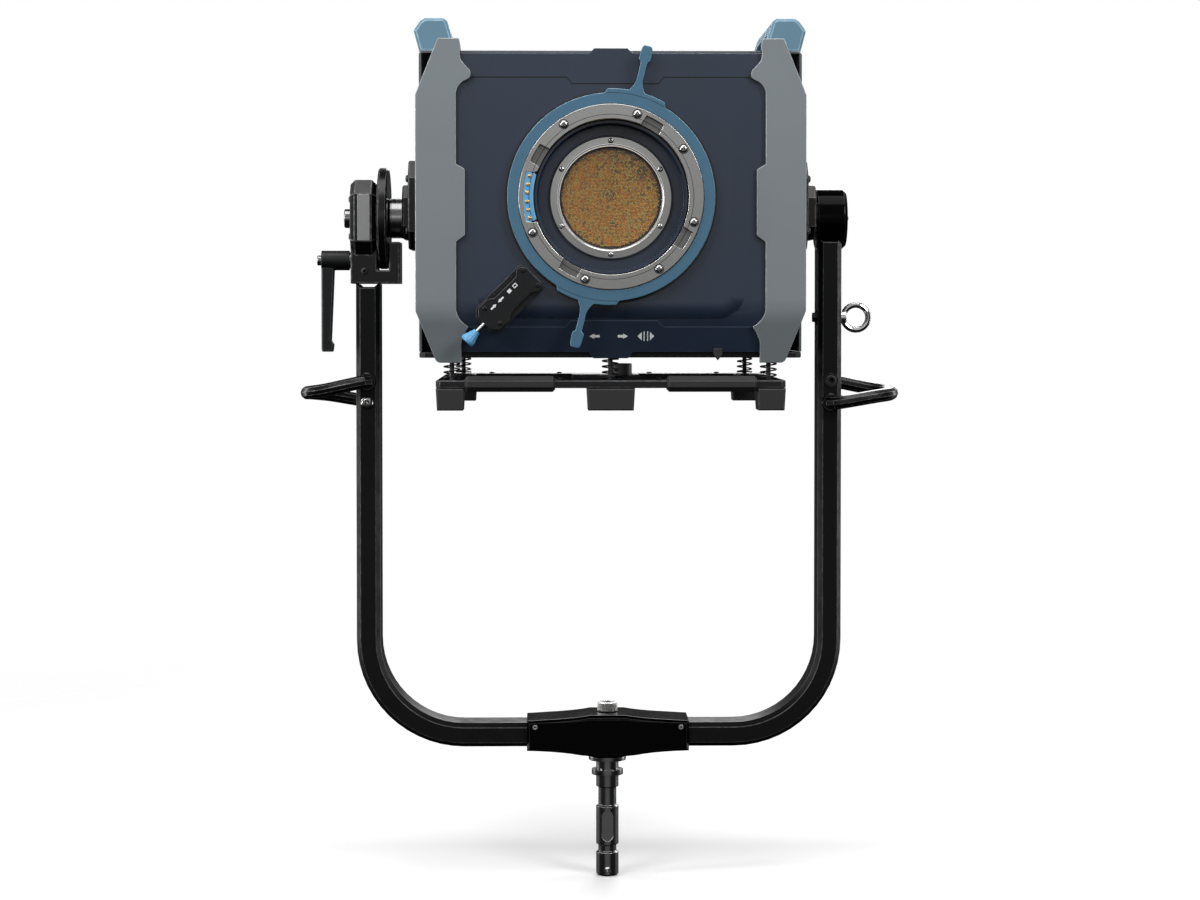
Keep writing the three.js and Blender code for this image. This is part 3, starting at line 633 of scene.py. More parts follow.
# ---- every CAD node with rounded edges and a finish ----
SPECIAL = {
    "bayonet_ring", "locking_ring", "lens_bezel", "mount_cup", "lens_window", "led_module",
    "latch_housing", "latch_plunger", "contact_block", "spigot_top_bolt", "spigot", "rear_panel",
}
SPRINGS = {n for n in nodes if n.startswith("base_spring_")}
WIDTHS = {
    "yoke_tube": 0.7, "tilt_clamp_body": 0.9, "front_guard_left": 0.8, "front_guard_right": 0.8,
    "rear_guard_left": 0.7, "rear_guard_right": 0.7, "carry_handle_left": 1.0, "carry_handle_right": 1.0,
    "front_panel": 0.7, "base_plate": 0.6, "clamp_handle": 0.8, "heat_sink": 0.25, "fan_frame": 0.5,
    "fan_rotor_left": 0.3, "fan_rotor_right": 0.3, "housing_shell": 0.5,
}
OTHER_LOOK = {
    "tilt_clamp_body": "smooth_black", "tilt_cap": "gloss_black", "tilt_disc": "smooth_black",
    "side_bracket_left": "smooth_black", "side_bracket_right": "smooth_black",
    "side_handle_left": "smooth_black", "side_handle_right": "smooth_black",
    "housing_shell": "shell_grey", "mount_cup": "black_plastic",
}
for node in sorted(nodes):
    if node not in SPECIAL and node not in SPRINGS:
        refined(node, OTHER_LOOK.get(node), WIDTHS.get(node, 0.5))


# ---- shell top: seam, screws ----
shell_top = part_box("housing_shell")[1].z / MM
LID_Y = 20
lid_line = [
    (-140, -120), (140, -120), (150, -110), (150, 150), (140, 160), (-140, 160), (-150, 150), (-150, -110),
]
lid_inner = [(x * 0.992, LID_Y + (y - LID_Y) * 0.992) for x, y in lid_line]
# Painted shade: a near-black strip along the lid's seam.
lid_seam = edged(flat_cut([lid_line, lid_inner], 0.7, 0.1))
lid_seam.transform(Matrix.Translation((0, 0, shell_top - 0.1)))
place(smooth(lid_seam), "shell_top_seam", "painted_gap_shade", "lamp_head")
lid_screws = [
    Matrix.Translation((x, y, shell_top - 0.4)) for x in (-132, 0, 132) for y in (-102, 142)
]
fasten("shell_top_screws", screw(3.8, 2.2, 2.6), lid_screws)

# ---- rear panel with its two round fan grilles ----
def grille_slots(x, z, reach=58, bars=7, pitch=16, high=8):
    """Outlines of the bars' slots, inside a circle."""
    slots = []
    for bar in range(bars):
        low = z - 52 + bar * pitch
        half = math.sqrt(reach ** 2 - (low - z + high / 2) ** 2)
        left, right, top = x - half, x + half, low + high
        slots.append(rounded([(left, low), (right, low), (right, top), (left, top)], 3.4))
    return slots


rear_low, rear_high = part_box("rear_panel")
fan_low, fan_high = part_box("fan_rotor_right")
FAN_X = (fan_low.x + fan_high.x) / 2 / MM
inlet_low, inlet_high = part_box("power_inlet")
inlet_at = ((inlet_low.x + inlet_high.x) / 2 / MM, (inlet_low.z + inlet_high.z) / 2 / MM)
rear_edges = [(rear_low.x / MM, rear_low.z / MM), (rear_high.x / MM, rear_low.z / MM),
              (rear_high.x / MM, rear_high.z / MM), (rear_low.x / MM, rear_high.z / MM)]
rear_plate = front_plate(
    [rounded(rear_edges, 6)] + grille_slots(-FAN_X, OPTIC_Z) + grille_slots(FAN_X, OPTIC_Z)
    + [circle(16.4, inlet_at, 64)],
    rear_low.y / MM, rear_high.y / MM, 0.7, 2,
)
place(smooth(rear_plate), "rear_panel_fine", "navy_paint", "lamp_head", ["rear_panel"])
frames = [
    front_plate([circle(61.4, (x, OPTIC_Z), 120), circle(59.3, (x, OPTIC_Z), 120)], 209.4, 210.8, 0.4)
    for x in (-FAN_X, FAN_X)
]
place(smooth(joined(*frames)), "rear_grille_rims", "black_plastic", "lamp_head")

# ---- springs under the pan ----
def coil(at, low, high, radius=9.5, wire=1.0, turns=4.25, sides=10, steps=150):
    """A wire coil with its two end turns lying flat."""
    bm = bmesh.new()
    rows = []
    for i in range(steps + 1):
        t = i / steps
        a = 2 * math.pi * turns * t
        eased = min(1.0, max(0.0, (t - 0.1) / 0.8))
        out = Vector((math.cos(a), math.sin(a), 0))
        centre = Vector((*at, low + (high - low) * eased)) + radius * out
        rows.append([
            bm.verts.new(centre + wire * (math.cos(b) * out + math.sin(b) * Vector((0, 0, 1))))
            for b in (2 * math.pi * k / sides for k in range(sides))
        ])
    for low_row, high_row in zip(rows, rows[1:]):
        for k in range(sides):
            j = (k + 1) % sides
            bm.faces.new((low_row[k], low_row[j], high_row[j], high_row[k]))
    bm.faces.new(rows[0][::-1])
    bm.faces.new(rows[-1])
    bmesh.ops.recalc_face_normals(bm, faces=bm.faces)
    mesh = bpy.data.meshes.new("coil")
    bm.to_mesh(mesh)
    bm.free()
    return smooth(mesh, 50)


for node in sorted(SPRINGS):
    low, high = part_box(node)
    at = ((low.x + high.x) / 2 / MM, (low.y + high.y) / 2 / MM)
    top = high.z / MM - 1.2
    bottom = low.z / MM + 1.2
    piece = place(coil(at, bottom, top), f"{node}_fine", "black_metal", "lamp_head", [node])
    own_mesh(piece)


# ---- accessory mount ----
def sector_cut(inner, outer, start, sweep, corner=1.5):
    """A ring's slot as an outline, open towards the bore."""
    arc_out = circle(outer, start=start, sweep=sweep, count=10)
    arc_in = circle(inner, start=start + sweep, sweep=-sweep, count=10)
    return rounded([arc_out[0]] + arc_out[2:-2] + [arc_out[-1]] + arc_in, corner, 3)


def notched_circle(radius, notches, deep, count=288):
    """A bore outline that steps out to a larger radius over each notch, with short ramps."""
    out = []
    for i in range(count):
        a = 360 * i / count
        r = radius
        for start, sweep in notches:
            inside = (a - start) % 360
            if inside <= sweep:
                ramp = min(1.0, inside / 1.2, (sweep - inside) / 1.2)
                r = radius + (deep - radius) * max(0.0, ramp) ** 0.5
        out.append((r * math.cos(math.radians(a)), r * math.sin(math.radians(a))))
    return out


def at_optic(mesh):
    mesh.transform(Matrix.Translation((OPTIC_X, 0, OPTIC_Z)))
    return mesh


STEEL_IN, STEEL_OUT, STEEL_BACK = 92.8, 110.8, ring_high.y / MM
slots = [(middle - 7.5, 15) for middle in (60, 150, 240, 330)]
ring_face = front_plate(
    [circle(STEEL_OUT, count=288), notched_circle(STEEL_IN, slots + [(162.4, 35.5)], 105.2)],
    RING_FRONT, RING_FRONT + 6.5, 0.9, 3,
)
ring_floor = front_plate(
    [circle(STEEL_OUT - 0.6, count=192), notched_circle(STEEL_IN, [(162.4, 35.5)], 106.4)],
    RING_FRONT + 6.2, STEEL_BACK, 0.3,
)
place(
    smooth(at_optic(ring_face)), "bayonet_ring_fine", "ring_steel",
    "lamp_head", ["bayonet_ring"],
)
# Painted shade: the slot floors behind the ring face take the darker steel.
place(smooth(at_optic(ring_floor)), "bayonet_ring_slots", "slot_steel_painted_shade", "lamp_head")
# Painted shade: a thin dark ring where the ring face steps.
step_line = front_plate(
    [circle(98.6, count=192), circle(98.0, count=192)], RING_FRONT - 0.08, RING_FRONT + 0.5, 0.05,
)
for face in list(step_line.polygons):
    face.material_index = 0
place(smooth(at_optic(step_line)), "bayonet_ring_step_shade", "black_metal", "lamp_head")

ring_screw = screw(5.0, 2.2, 3.4)
fasten("bayonet_ring_screws", ring_screw, [
    facing(TO_MINUS_Y, *(lambda p: (p[0], RING_FRONT + 0.6, p[1]))(polar(103.2, a)), spin=a * 1.7)
    for a in (72.5, 33.5, -17, -56.4, 252.4, 204.5, 123.4)
], "lamp_head", "screw_steel")
# Painted shade: a dark ring round each screw seat.
seat = lathed([[5.2, 0], [6.0, 0], [6.0, 0.3], [5.2, 0.3], [5.2, 0]], 36)
fasten("bayonet_screw_seats", seat, [
    facing(TO_MINUS_Y, *(lambda p: (p[0], RING_FRONT + 0.2, p[1]))(polar(103.2, a)))
    for a in (72.5, 33.5, -17, -56.4, 252.4, 204.5, 123.4)
], "lamp_head", "painted_gap_shade")

# Contact block with its row of sprung pins.
contact = sector_cut(93.2, 106.0, 163.2, 33.9, 3.0)
block = front_plate([contact], RING_FRONT + 0.3, STEEL_BACK - 0.2, 0.6, 3)
place(smooth(at_optic(block)), "contact_block_fine", "sky_blue", "lamp_head", ["contact_block"])
pin = smooth(lathed([
    [0, 0.1], [1.3, 0.1], [1.3, 0.75], [0.9, 1.0], [0, 1.05],
], 24), 40)
pin_rim = smooth(lathed([
    [1.5, 0.0], [2.4, 0.0], [2.4, 0.45], [2.1, 0.6], [1.7, 0.6], [1.5, 0.4], [1.5, 0],
], 28), 40)
fasten("contact_pins", joined(pin, pin_rim), [
    facing(TO_MINUS_Y, *(lambda p: (p[0], RING_FRONT + 0.35, p[1]))(polar(100.6, a)))
    for a in (165.8, 171.6, 177.1, 183.4, 188.9, 194.5)
], "lamp_head", "gold_pin")

# Locking ring: one plate with two finger pads and two levers with filleted necks.
LOCK_IN, LOCK_OUT, LOCK_PAD = 111.2, 124.2, 129.2
lock_low, lock_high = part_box("locking_ring")


def lever_outline(angle):
    """Half the lever's width at a distance from the optical axis, drawn round its tip."""
    half = [
        (0, 9.5), (3, 7.6), (7, 5.4), (12, 4.0), (18, 3.7), (34, 3.7), (36, 4.4), (37.5, 6.6), (40, 7.1),
        (48, 6.9), (53, 6.2), (55, 5.0), (55.8, 3.0),
    ]
    right = [(LOCK_PAD + d, -w) for d, w in half]
    left = [(LOCK_PAD + d, w) for d, w in reversed(half)]
    a = math.radians(angle)
    return [(x * math.cos(a) - y * math.sin(a), x * math.sin(a) + y * math.cos(a)) for x, y in right + left]


def lock_outline():
    out = []
    levers = {76.3: False, 256.3: False}
    pads = [(58.5, 94.0), (238.0, 274.5)]
    step = 0.75
    a = 0.0
    while a < 360:
        on_pad = next((p for p in pads if p[0] <= a <= p[1]), None)
        middle = next((m for m in levers if abs(a - m) < 4.3), None)
        if middle is not None:
            if not levers[middle]:
                out += lever_outline(middle)
                levers[middle] = True
        else:
            ramp = min(1.0, (a - on_pad[0]) / 2.2, (on_pad[1] - a) / 2.2) if on_pad else 0.0
            r = LOCK_OUT + (LOCK_PAD - LOCK_OUT) * ramp * ramp * (3 - 2 * ramp)
            out.append((r * math.cos(math.radians(a)), r * math.sin(math.radians(a))))
        a += step
    return out


lock_plate = front_plate(
    [lock_outline(), circle(LOCK_IN, count=240)], lock_low.y / MM, lock_high.y / MM, 0.8, 3,
)
place(
    smooth(at_optic(lock_plate)), "locking_ring_fine", "ring_blue",
    "locking_ring", ["locking_ring"],
)
# Painted shade: dark lines where the finger pads meet the ring.
pad_seam = [
    front_plate([
        circle(124.5, start=a, sweep=s, count=40) + circle(124.0, start=a + s, sweep=-s, count=40)
    ], lock_low.y / MM - 0.06, lock_low.y / MM + 0.4, 0.02)
    for a, s in ((59.6, 33.4), (239.1, 34.3))
]
place(smooth(at_optic(joined(*pad_seam))), "locking_ring_seams", "painted_gap_shade", "locking_ring")

# Painted shadow: a dark ring standing in for the shadow gap behind the locking ring.
gap_ring = lathed([[111.0, 0], [127.0, 0], [127.0, 1.2], [111.0, 1.2], [111.0, 0]], 160)
place(
    smooth(moved(gap_ring, facing(TO_MINUS_Y, OPTIC_X, PLATEAU_Y + 0.4, OPTIC_Z))), "locking_ring_painted_shadow",
    "black_rubber", "lamp_head",
)

# Cup inside the ring, with a flat floor and a fine lip.
cup_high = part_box("mount_cup")[1]
cup = lathed([
    [61.8, 22.0], [73.9, 22.0], [74.3, 21.6], [75.0, 21.6], [75.4, 22.0], [87.0, 22.0], [88.2, 23.2],
    [88.4, 43.6], [88.8, 44.2], [91.6, 44.2], [92.1, 43.6], [92.1, 18.2], [61.8, 18.2], [61.8, 22.0],
], 192)
cup_shift = Matrix.Translation((OPTIC_X, cup_high.y / MM + 18.2, OPTIC_Z)) @ TO_MINUS_Y
place(smooth(moved(cup, cup_shift)), "mount_cup_fine", "navy_paint", "lamp_head", ["mount_cup"])

# Bezel round the light source.
bezel_low, bezel_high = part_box("lens_bezel")
BEZEL_Y = bezel_low.y / MM
bezel = lathed([
    [61.4, 0.2], [73.2, 0.0], [73.5, 0.4], [73.5, 3.2], [72.6, 3.9], [64.6, 4.1], [64.0, 4.1], [63.0, 3.4],
    [61.9, 3.4], [61.4, 2.8], [61.4, 0.2],
], 192)
# The inner lip takes the lighter edge material: a painted highlight.
for face in bezel.polygons:
    face.material_index = 1 if face.center.xy.length < 64.4 else 0
place(
    smooth(moved(bezel, facing(TO_MINUS_Y, OPTIC_X, bezel_high.y / MM, OPTIC_Z))), "lens_bezel_fine",
    "ring_steel", "lamp_head", ["lens_bezel"],
)
fasten("lens_bezel_screws", screw(3.4, 1.5, 2.4), [
    facing(TO_MINUS_Y, *(lambda p: (p[0], BEZEL_Y + 0.6, p[1]))(polar(68.4, 30 + 60 * k)), spin=k * 23)
    for k in range(6)
], "lamp_head", "screw_steel")
window = lathed([[0, 0], [60.4, 0], [61.0, 0.5], [61.0, 1.6], [60.4, 2.0], [0, 2.0]], 128)
place(
    smooth(moved(window, facing(TO_MINUS_Y, OPTIC_X, -173.4, OPTIC_Z))), "lens_window_fine",
    "clear_glass", "lamp_head", ["lens_window"],
)


# ---- light source: a round array of small lenses on a board ----
def emitter_array(radius=58.6, pitch=1.95):
    bm = bmesh.new()
    rng = random.Random(11)
    rows = int(radius / (pitch * 0.866)) + 1
    for row in range(-rows, rows + 1):
        for col in range(-rows - 4, rows + 5):
            x = (col + 0.5 * (row % 2)) * pitch
            z = row * pitch * 0.866
            if math.hypot(x, z) > radius:
                continue
            cluster = (math.sin(x * 0.36) + math.sin(z * 0.41 + x * 0.17) + math.sin((x - z) * 0.23)) / 3
            # Painted shade: emitters towards high x and z lean to the darker kinds.
            painted_shade_side = max(0.0, (x + 1.3 * z) / radius - 0.45)
            pick = 0.35 * cluster + rng.uniform(-0.8, 0.8) + 0.5 * painted_shade_side
            kind = 0 if pick < -0.25 else 1 if pick < 0.2 else 3 if pick < 0.55 else 2 if pick < 0.8 else 4
            if math.hypot(x + 2, z - 4) < 8:
                kind = rng.choice((2, 4, 3, 1))
            rings = []
            for share, rise in ((0.5, 0.0), (0.46, 0.45), (0.26, 0.85)):
                rings.append([
                    bm.verts.new((x + share * pitch * math.cos(b), z + share * pitch * math.sin(b), rise))
                    for b in (math.pi / 6 + math.pi / 3 * k for k in range(6))
                ])
            for low_ring, high_ring in zip(rings, rings[1:]):
                for k in range(6):
                    j = (k + 1) % 6
                    bm.faces.new((low_ring[k], low_ring[j], high_ring[j], high_ring[k])).material_index = kind
            bm.faces.new(rings[-1]).material_index = kind
    mesh = bpy.data.meshes.new("emitters")
    bm.to_mesh(mesh)
    bm.free()
    for mat in LED_KINDS:
        mesh.materials.append(mat)
    return smooth(mesh, 60)


board = joined(
    lathed([[0, 0], [60, 0], [60, 5.2], [0, 5.2]], 128),
    flat_cut([rounded([(-77.5, -77.5), (77.5, -77.5), (77.5, 77.5), (-77.5, 77.5)], 8)], 5, 0.5),
)
board.transform(facing(TO_MINUS_Y, OPTIC_X, -163.6, OPTIC_Z))
place(smooth(board), "led_board", "amber_led", "lamp_head", ["led_module"])
emitters = emitter_array()
emitters.transform(facing(TO_MINUS_Y, OPTIC_X, -168.7, OPTIC_Z))
place(emitters, "led_emitters", None, "lamp_head")


# ---- latch ----
LATCH = about_optic(225)
BOX_FRONT, BOX_BACK = -207.9, -193.5


def latch_piece(mesh, name, look, body="lamp_head", stands_for=()):
    mesh.transform(LATCH)
    return place(smooth(mesh), name, look, body, stands_for)


near = 129.9
low_outline = rounded([
    (near + 1, -14), (135, -20.3), (208, -20.3), (216.6, -12), (216.6, 12), (208, 20.3), (135, 20.3),
    (near + 1, 14),
], 3.5)
waist_outline = rounded([
    (near + 1.6, -13), (136.5, -18.6), (142, -18.6), (148, -13.2), (184, -13.2), (191, -18.6), (206, -18.6),
    (214, -10.5), (214, 10.5), (206, 18.6), (191, 18.6), (184, 13.2), (148, 13.2), (142, 18.6), (136.5, 18.6),
    (near + 1.6, 13),
], 2.2)
latch_piece(
    joined(
        front_plate([low_outline], -200.5, BOX_BACK, 0.7, 3),
        front_plate([waist_outline], BOX_FRONT, -200.6, 1.1, 3),
    ), "latch_housing_fine", "black_plastic", stands_for=["latch_housing"],
)
scoops = [
    front_plate([
        rounded([(150, side * 16.2), (182, side * 16.2), (179, side * 19.6), (153, side * 19.6)], 1.0),
    ], -200.9, -200.2, 0.25)
    for side in (-1, 1)
]
latch_piece(joined(*scoops), "latch_scoops", "black_metal")
fasten("latch_screws", screw(3.5, 1.2, 2.6), [
    LATCH @ facing(TO_MINUS_Y, r, BOX_FRONT + 0.75, side * 12.6, spin=r)
    for r in (136.5, 201) for side in (-1, 1)
])


def mark(points, front):
    return front_plate([points], front - 0.12, front + 0.35, 0.02)


def arrow(x, z, length, head, shaft, point=1):
    """A block arrow outline that points along +X, or -X with point -1."""
    return [
        (x - point * length / 2, z - shaft), (x + point * (length / 2 - head), z - shaft),
        (x + point * (length / 2 - head), z - 2.1 * shaft), (x + point * length / 2, z),
        (x + point * (length / 2 - head), z + 2.1 * shaft), (x + point * (length / 2 - head), z + shaft),
        (x - point * length / 2, z + shaft),
    ]


latch_marks = joined(
    mark(arrow(192, -6.5, 9, 4, 1.1, -1), BOX_FRONT), mark(arrow(180, -6.5, 9, 4, 1.1, 1), BOX_FRONT),
    mark([(163, -8.6), (168, -8.6), (168, -4.4), (163, -4.4)], BOX_FRONT),
    front_plate([
        [(153.5, -8.8), (159, -8.8), (159, -4.2), (153.5, -4.2)],
        [(154.6, -7.7), (157.9, -7.7), (157.9, -5.3), (154.6, -5.3)],
    ], BOX_FRONT - 0.12, BOX_FRONT + 0.3, 0.02),
)
latch_piece(latch_marks, "latch_marks", "mark_white")

rod = lathed([[0, 132], [3.15, 132], [3.15, 228.2], [0, 228.2]], 32)
knob = lathed([
    [0, 226.8], [4.2, 226.8], [4.8, 228], [5.1, 231], [6.5, 235.6], [8.6, 240.6], [9, 241.6], [9, 243.9],
    [8.1, 244.9], [0, 244.9],
], 48)
grooved = lambda r: (lambda a: r + 0.35 * math.cos(12 * a))
knob_ribs = lathed([
    [grooved(5.0), 231], [grooved(6.6), 235.6], [grooved(8.6), 240.6], [0, 240.7], [0, 231],
    [grooved(5.0), 231],
], 96)
spin_x = LATCH @ Matrix.Translation((0, -200.5, 0)) @ TO_PLUS_X
steel_rod = moved(rod, spin_x)
place(smooth(steel_rod), "latch_rod", "screw_steel", "latch_plunger")
place(
    smooth(moved(joined(knob, knob_ribs), spin_x)), "latch_plunger_fine", "sky_blue",
    "latch_plunger", ["latch_plunger"],
)


# ---- front panel: painted shade and highlight lines, arrows, painted shadow strips ----
def panel_front(z):
    """The panel's front at a height, outside the raised middle."""
    if z >= LEAN_TOP:
        return PANEL_Y
    if z >= LEAN_TOP - 28:
        t = (LEAN_TOP - z) / 28
        return PANEL_Y + 3 * t * t
    return PANEL_Y + 3 + 15 * (LEAN_TOP - 28 - z) / (LEAN_TOP - 28 - 520)


def on_panel(mesh):
    """Lays a thin front plate drawn at y 0 on the leaning panel."""
    for v in mesh.vertices:
        v.co.y += panel_front(v.co.z)
    return mesh


def strip(points, width):
    """A thin closed outline that follows an open line at a constant width."""
    left, right = [], []
    for i, p in enumerate(points):
        a, b = Vector(points[max(0, i - 1)]), Vector(points[min(len(points) - 1, i + 1)])
        along = (b - a).normalized()
        side = Vector((-along.y, along.x)) * width / 2
        left.append(tuple(Vector(p) + side))
        right.append(tuple(Vector(p) - side))
    return left + right[::-1]


top_line = [(-174, 870.3), (-53, 870.3), (-47, 862.6), (57, 862.6), (63, 870.3), (174, 870.3)]
low_line = [(-186, 570.8), (-54.5, 570.8), (-48, 578.4), (56, 578.4), (63, 570.8), (186, 570.8)]
# Painted shade: a near-black strip in the panel's top groove.
top_groove = on_panel(front_plate([strip(top_line, 1.5)], -0.15, 0.5, 0.05))
# Painted highlight: a light line where the lower lip of the panel's step catches the light.
low_highlight = on_panel(front_plate([strip(low_line, 0.7)], -0.15, 0.5, 0.05))
place(smooth(top_groove), "front_panel_seam", "painted_gap_shade", "lamp_head")
place(smooth(low_highlight), "front_panel_painted_highlight", "painted_highlight", "lamp_head")

signs = [
    arrow(-19.6, 0, 12.4, 6, 1.5, -1), arrow(14.6, 0, 12.4, 6, 1.5, 1),
    [(32.2, 0), (37.4, -5.0), (37.4, 5.0)], [(52.4, 0), (47.2, 5.0), (47.2, -5.0)],
    [(39.6, -5.8), (40.8, -5.8), (40.8, 5.8), (39.6, 5.8)],
    [(43.8, -5.8), (45.0, -5.8), (45.0, 5.8), (43.8, 5.8)],
]
sign_z = 559.8
sign_mesh = joined(*[
    on_panel(front_plate([[(x, z + sign_z) for x, z in points]], -0.12, 0.3, 0.02)) for points in signs
])
place(smooth(sign_mesh), "front_panel_marks", "mark_white", "lamp_head")

# Painted shadow: dark strips along the guards' inner edges stand in for the shadow gap between guard and
# panel.
shadow_gap_line = [
    (-180.9, 905), (-180.5, 891), (-176.3, 885), (-169.4, 878.4), (-166.6, 871), (-171.4, 867.2),
    (-183.2, 863.2), (-185.9, 851.9), (-185.9, 766.3), (-175.3, 760.2), (-175.3, 680.8), (-185.9, 672.8),
    (-185.9, 590.4),
    (-183.8, 578.2), (-171, 571.4), (-178.3, 560), (-180.1, 551.1), (-180.1, 536),
]
for side, label in ((-1, "left"), (1, "right")):
    line = [(-side * x, z) for x, z in shadow_gap_line]
    shadow_strip = on_panel(front_plate([strip(line, 1.8)], -5.2, 0.3, 0.1))
    place(smooth(shadow_strip), f"front_painted_shadow_{label}", "black_rubber", "lamp_head")

stop_line = rounded([(124.2, 545), (134.6, 545), (134.6, 537.5), (129.4, 530.5), (124.2, 537.5)], 0.8)
stop = front_plate([stop_line], -176, -166, 0.8)
place(smooth(stop), "pan_stop", "black_rubber", "lamp_head")

# ---- base details ----
plate_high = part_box("base_plate")[1]
plate_top = plate_high.z / MM
boss = lathed([[0, 0], [14.0, 0], [14.0, 14.6], [13.2, 15.6], [9.0, 15.6], [8.4, 14.6], [0, 14.6]], 64)
boss.transform(Matrix.Translation((19, 60, plate_top - 0.2)))
place(smooth(boss), "base_plate_boss", "machined_face_and_painted_reflection", "sprung_base")
base_screws = [
    Matrix.Translation((x, y, plate_top - 0.4)) for x in (-150, -60, 60, 150) for y in (-121, 181)
]
fasten("base_plate_screws", screw(3.6, 2.0, 2.6), base_screws, "sprung_base")

# ---- yoke details ----
fasten("side_handle_screw_left", screw(8.2, 3.6, 5.2), [
    facing(TO_MINUS_Y, -303.0, ARM_FRONT, 475.2), facing(TO_PLUS_Y, -303.0, ARM_BACK, 501.0),
], "yoke", "screw_steel")
washer = lathed([[4.2, 0], [8.6, 0], [9.0, 0.4], [9.0, 1.4], [8.6, 1.8], [4.2, 1.8], [4.2, 0]], 48)
dark_screw = joined(screw(6.2, 4.2, 5.0, domed=False), washer)
fasten("side_handle_screw_right", dark_screw, [
    facing(TO_MINUS_Y, 281.6, ARM_FRONT, 502.6), facing(TO_PLUS_Y, 281.6, ARM_BACK, 475.0),
], "yoke")
collar = smooth(lathed([
    [8.6, 0], [11.4, 0], [11.8, 0.6], [11.8, 2.6], [10.6, 3.6], [8.6, 3.6], [8.6, 0],
], 48), 40)
handle_ends = []
for x, front_z, rear_z in ((-303.0, 501.0, 474.5), (281.6, 474.5, 501.0)):
    handle_ends += [facing(TO_MINUS_Y, x, ARM_FRONT, front_z), facing(TO_PLUS_Y, x, ARM_BACK, rear_z)]
fasten("side_handle_collars", collar, handle_ends, "yoke", "smooth_black")
eye_nut = joined(
    lathed([[0, 0], [9.5, 0], [9.5, 1.2], [9.0, 1.6], [0, 1.6]], 40),
    lathed([[0, 1.4], [hexagon(12), 1.4], [hexagon(12), 4.6], [hexagon(11.2), 5.0], [0, 5.0]], 36),
)
fasten("eye_bolt_nut", eye_nut, [facing(TO_MINUS_X, 265.6, 0, 582)], "yoke")

block_low, block_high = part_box("spigot_block")
BLOCK_FRONT, BLOCK_BACK = block_low.y / MM, block_high.y / MM
seam_parts = []
block_line = [(-97, 70.4), (-40, 72.6), (-20, 74.6), (20, 74.6), (40, 72.6), (97, 70.4)]
for y in (BLOCK_FRONT - 0.05, BLOCK_BACK - 0.35):
    seam_parts.append(front_plate([strip(block_line, 0.8)], y, y + 0.4, 0.05))
place(smooth(joined(*seam_parts)), "spigot_block_seam", "smooth_black", "yoke")
block_screws = [
    facing(turn, x, y, 65.6) for turn, y in ((TO_MINUS_Y, BLOCK_FRONT + 0.3), (TO_PLUS_Y, BLOCK_BACK - 0.3))
    for x in (-92, 92)
]
place(
    scatter(screw(3.2, 1.0, 2.2, domed=False), block_screws), "spigot_block_screws", "screw_steel", "yoke",
)

bolt_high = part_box("spigot_top_bolt")[1]
knurl = lambda r: (lambda a: r + 0.32 * abs(math.sin(24 * a)))
BOLT_TOP = bolt_high.z / MM
bolt_head = lathed([
    [0, 3.1], [4.9, 3.1], [4.9, 80.5], [12.0, 80.5], [knurl(12.5), 81.4], [knurl(12.5), 90.8], [12.1, 92.0],
    [11.2, BOLT_TOP - 0.1], [7.2, BOLT_TOP - 0.1], [hexagon(12.4), 91.8], [hexagon(12.2), 87.2], [0, 87.0],
], 192)
# The top of the head takes the lighter edge material: a painted highlight.
for face in bolt_head.polygons:
    face.material_index = 1 if face.center.z > 91 else 0
place(
    smooth(bolt_head, 40), "spigot_top_bolt_fine", "screw_steel", "yoke", ["spigot_top_bolt"],
)
refined("spigot", "bright_steel", 0.35, 2, 30)
# Painted shade: dark rings at the safety pin holes.
safety_pin_rim = lathed([[4.2, 0], [4.9, 0], [4.9, 0.5], [4.2, 0.5], [4.2, 0]], 32)
fasten("spigot_hole_rims", safety_pin_rim, [
    facing(TO_MINUS_Y, 0, -13.5, -121.2), facing(TO_PLUS_Y, 0, 13.5, -121.2),
], "yoke", "painted_gap_shade")


# ---- tilt joint details ----
caliper_bolts = [facing(TO_MINUS_Y, -305.5, -31.0, 640.0), facing(TO_PLUS_Y, -305.5, 31.0, 640.0)]
place(
    scatter(screw(4.6, 2.0, 3.4), caliper_bolts), "tilt_clamp_bolts", "black_metal", "yoke",
)
# Painted reflection: a lighter grey plate on the clamp's front stands in for a bright reflected facet.
clamp_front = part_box("tilt_clamp_body")[0].y / MM
facet_line = rounded([(-313.4, 678.4), (-298.2, 678.4), (-298.2, 735.6), (-313.4, 735.6)], 1.0)
facet = front_plate([facet_line], clamp_front - 0.5, clamp_front + 1.0, 0.4)
place(smooth(facet), "tilt_clamp_painted_reflection", "machined_face_and_painted_reflection", "yoke")
ring_bolts = [
    facing(TO_MINUS_X, -323.2, 33 * math.cos(a), TILT_Z + 33 * math.sin(a), spin=20)
    for a in (math.radians(45 + 90 * k) for k in range(4))
]
fasten("tilt_clamp_face_bolts", screw(4.2, 2.6, 3.2), ring_bolts, "yoke")
cap_bolts = [
    facing(TO_PLUS_X, 301.4, 24 * math.cos(a), TILT_Z + 24 * math.sin(a), spin=20)
    for a in (math.radians(90 * k) for k in range(4))
]
fasten("tilt_cap_bolts", screw(3.6, 2.0, 2.8), cap_bolts, "yoke")
bracket_bolts = []
for side, turn in ((-1, TO_MINUS_X), (1, TO_PLUS_X)):
    for y in (-52, 52):
        for z in (690, 755):
            bracket_bolts.append(facing(turn, side * 249.8, y, z, spin=15))
fasten("side_bracket_bolts", screw(4.6, 3.0, 3.6), bracket_bolts)

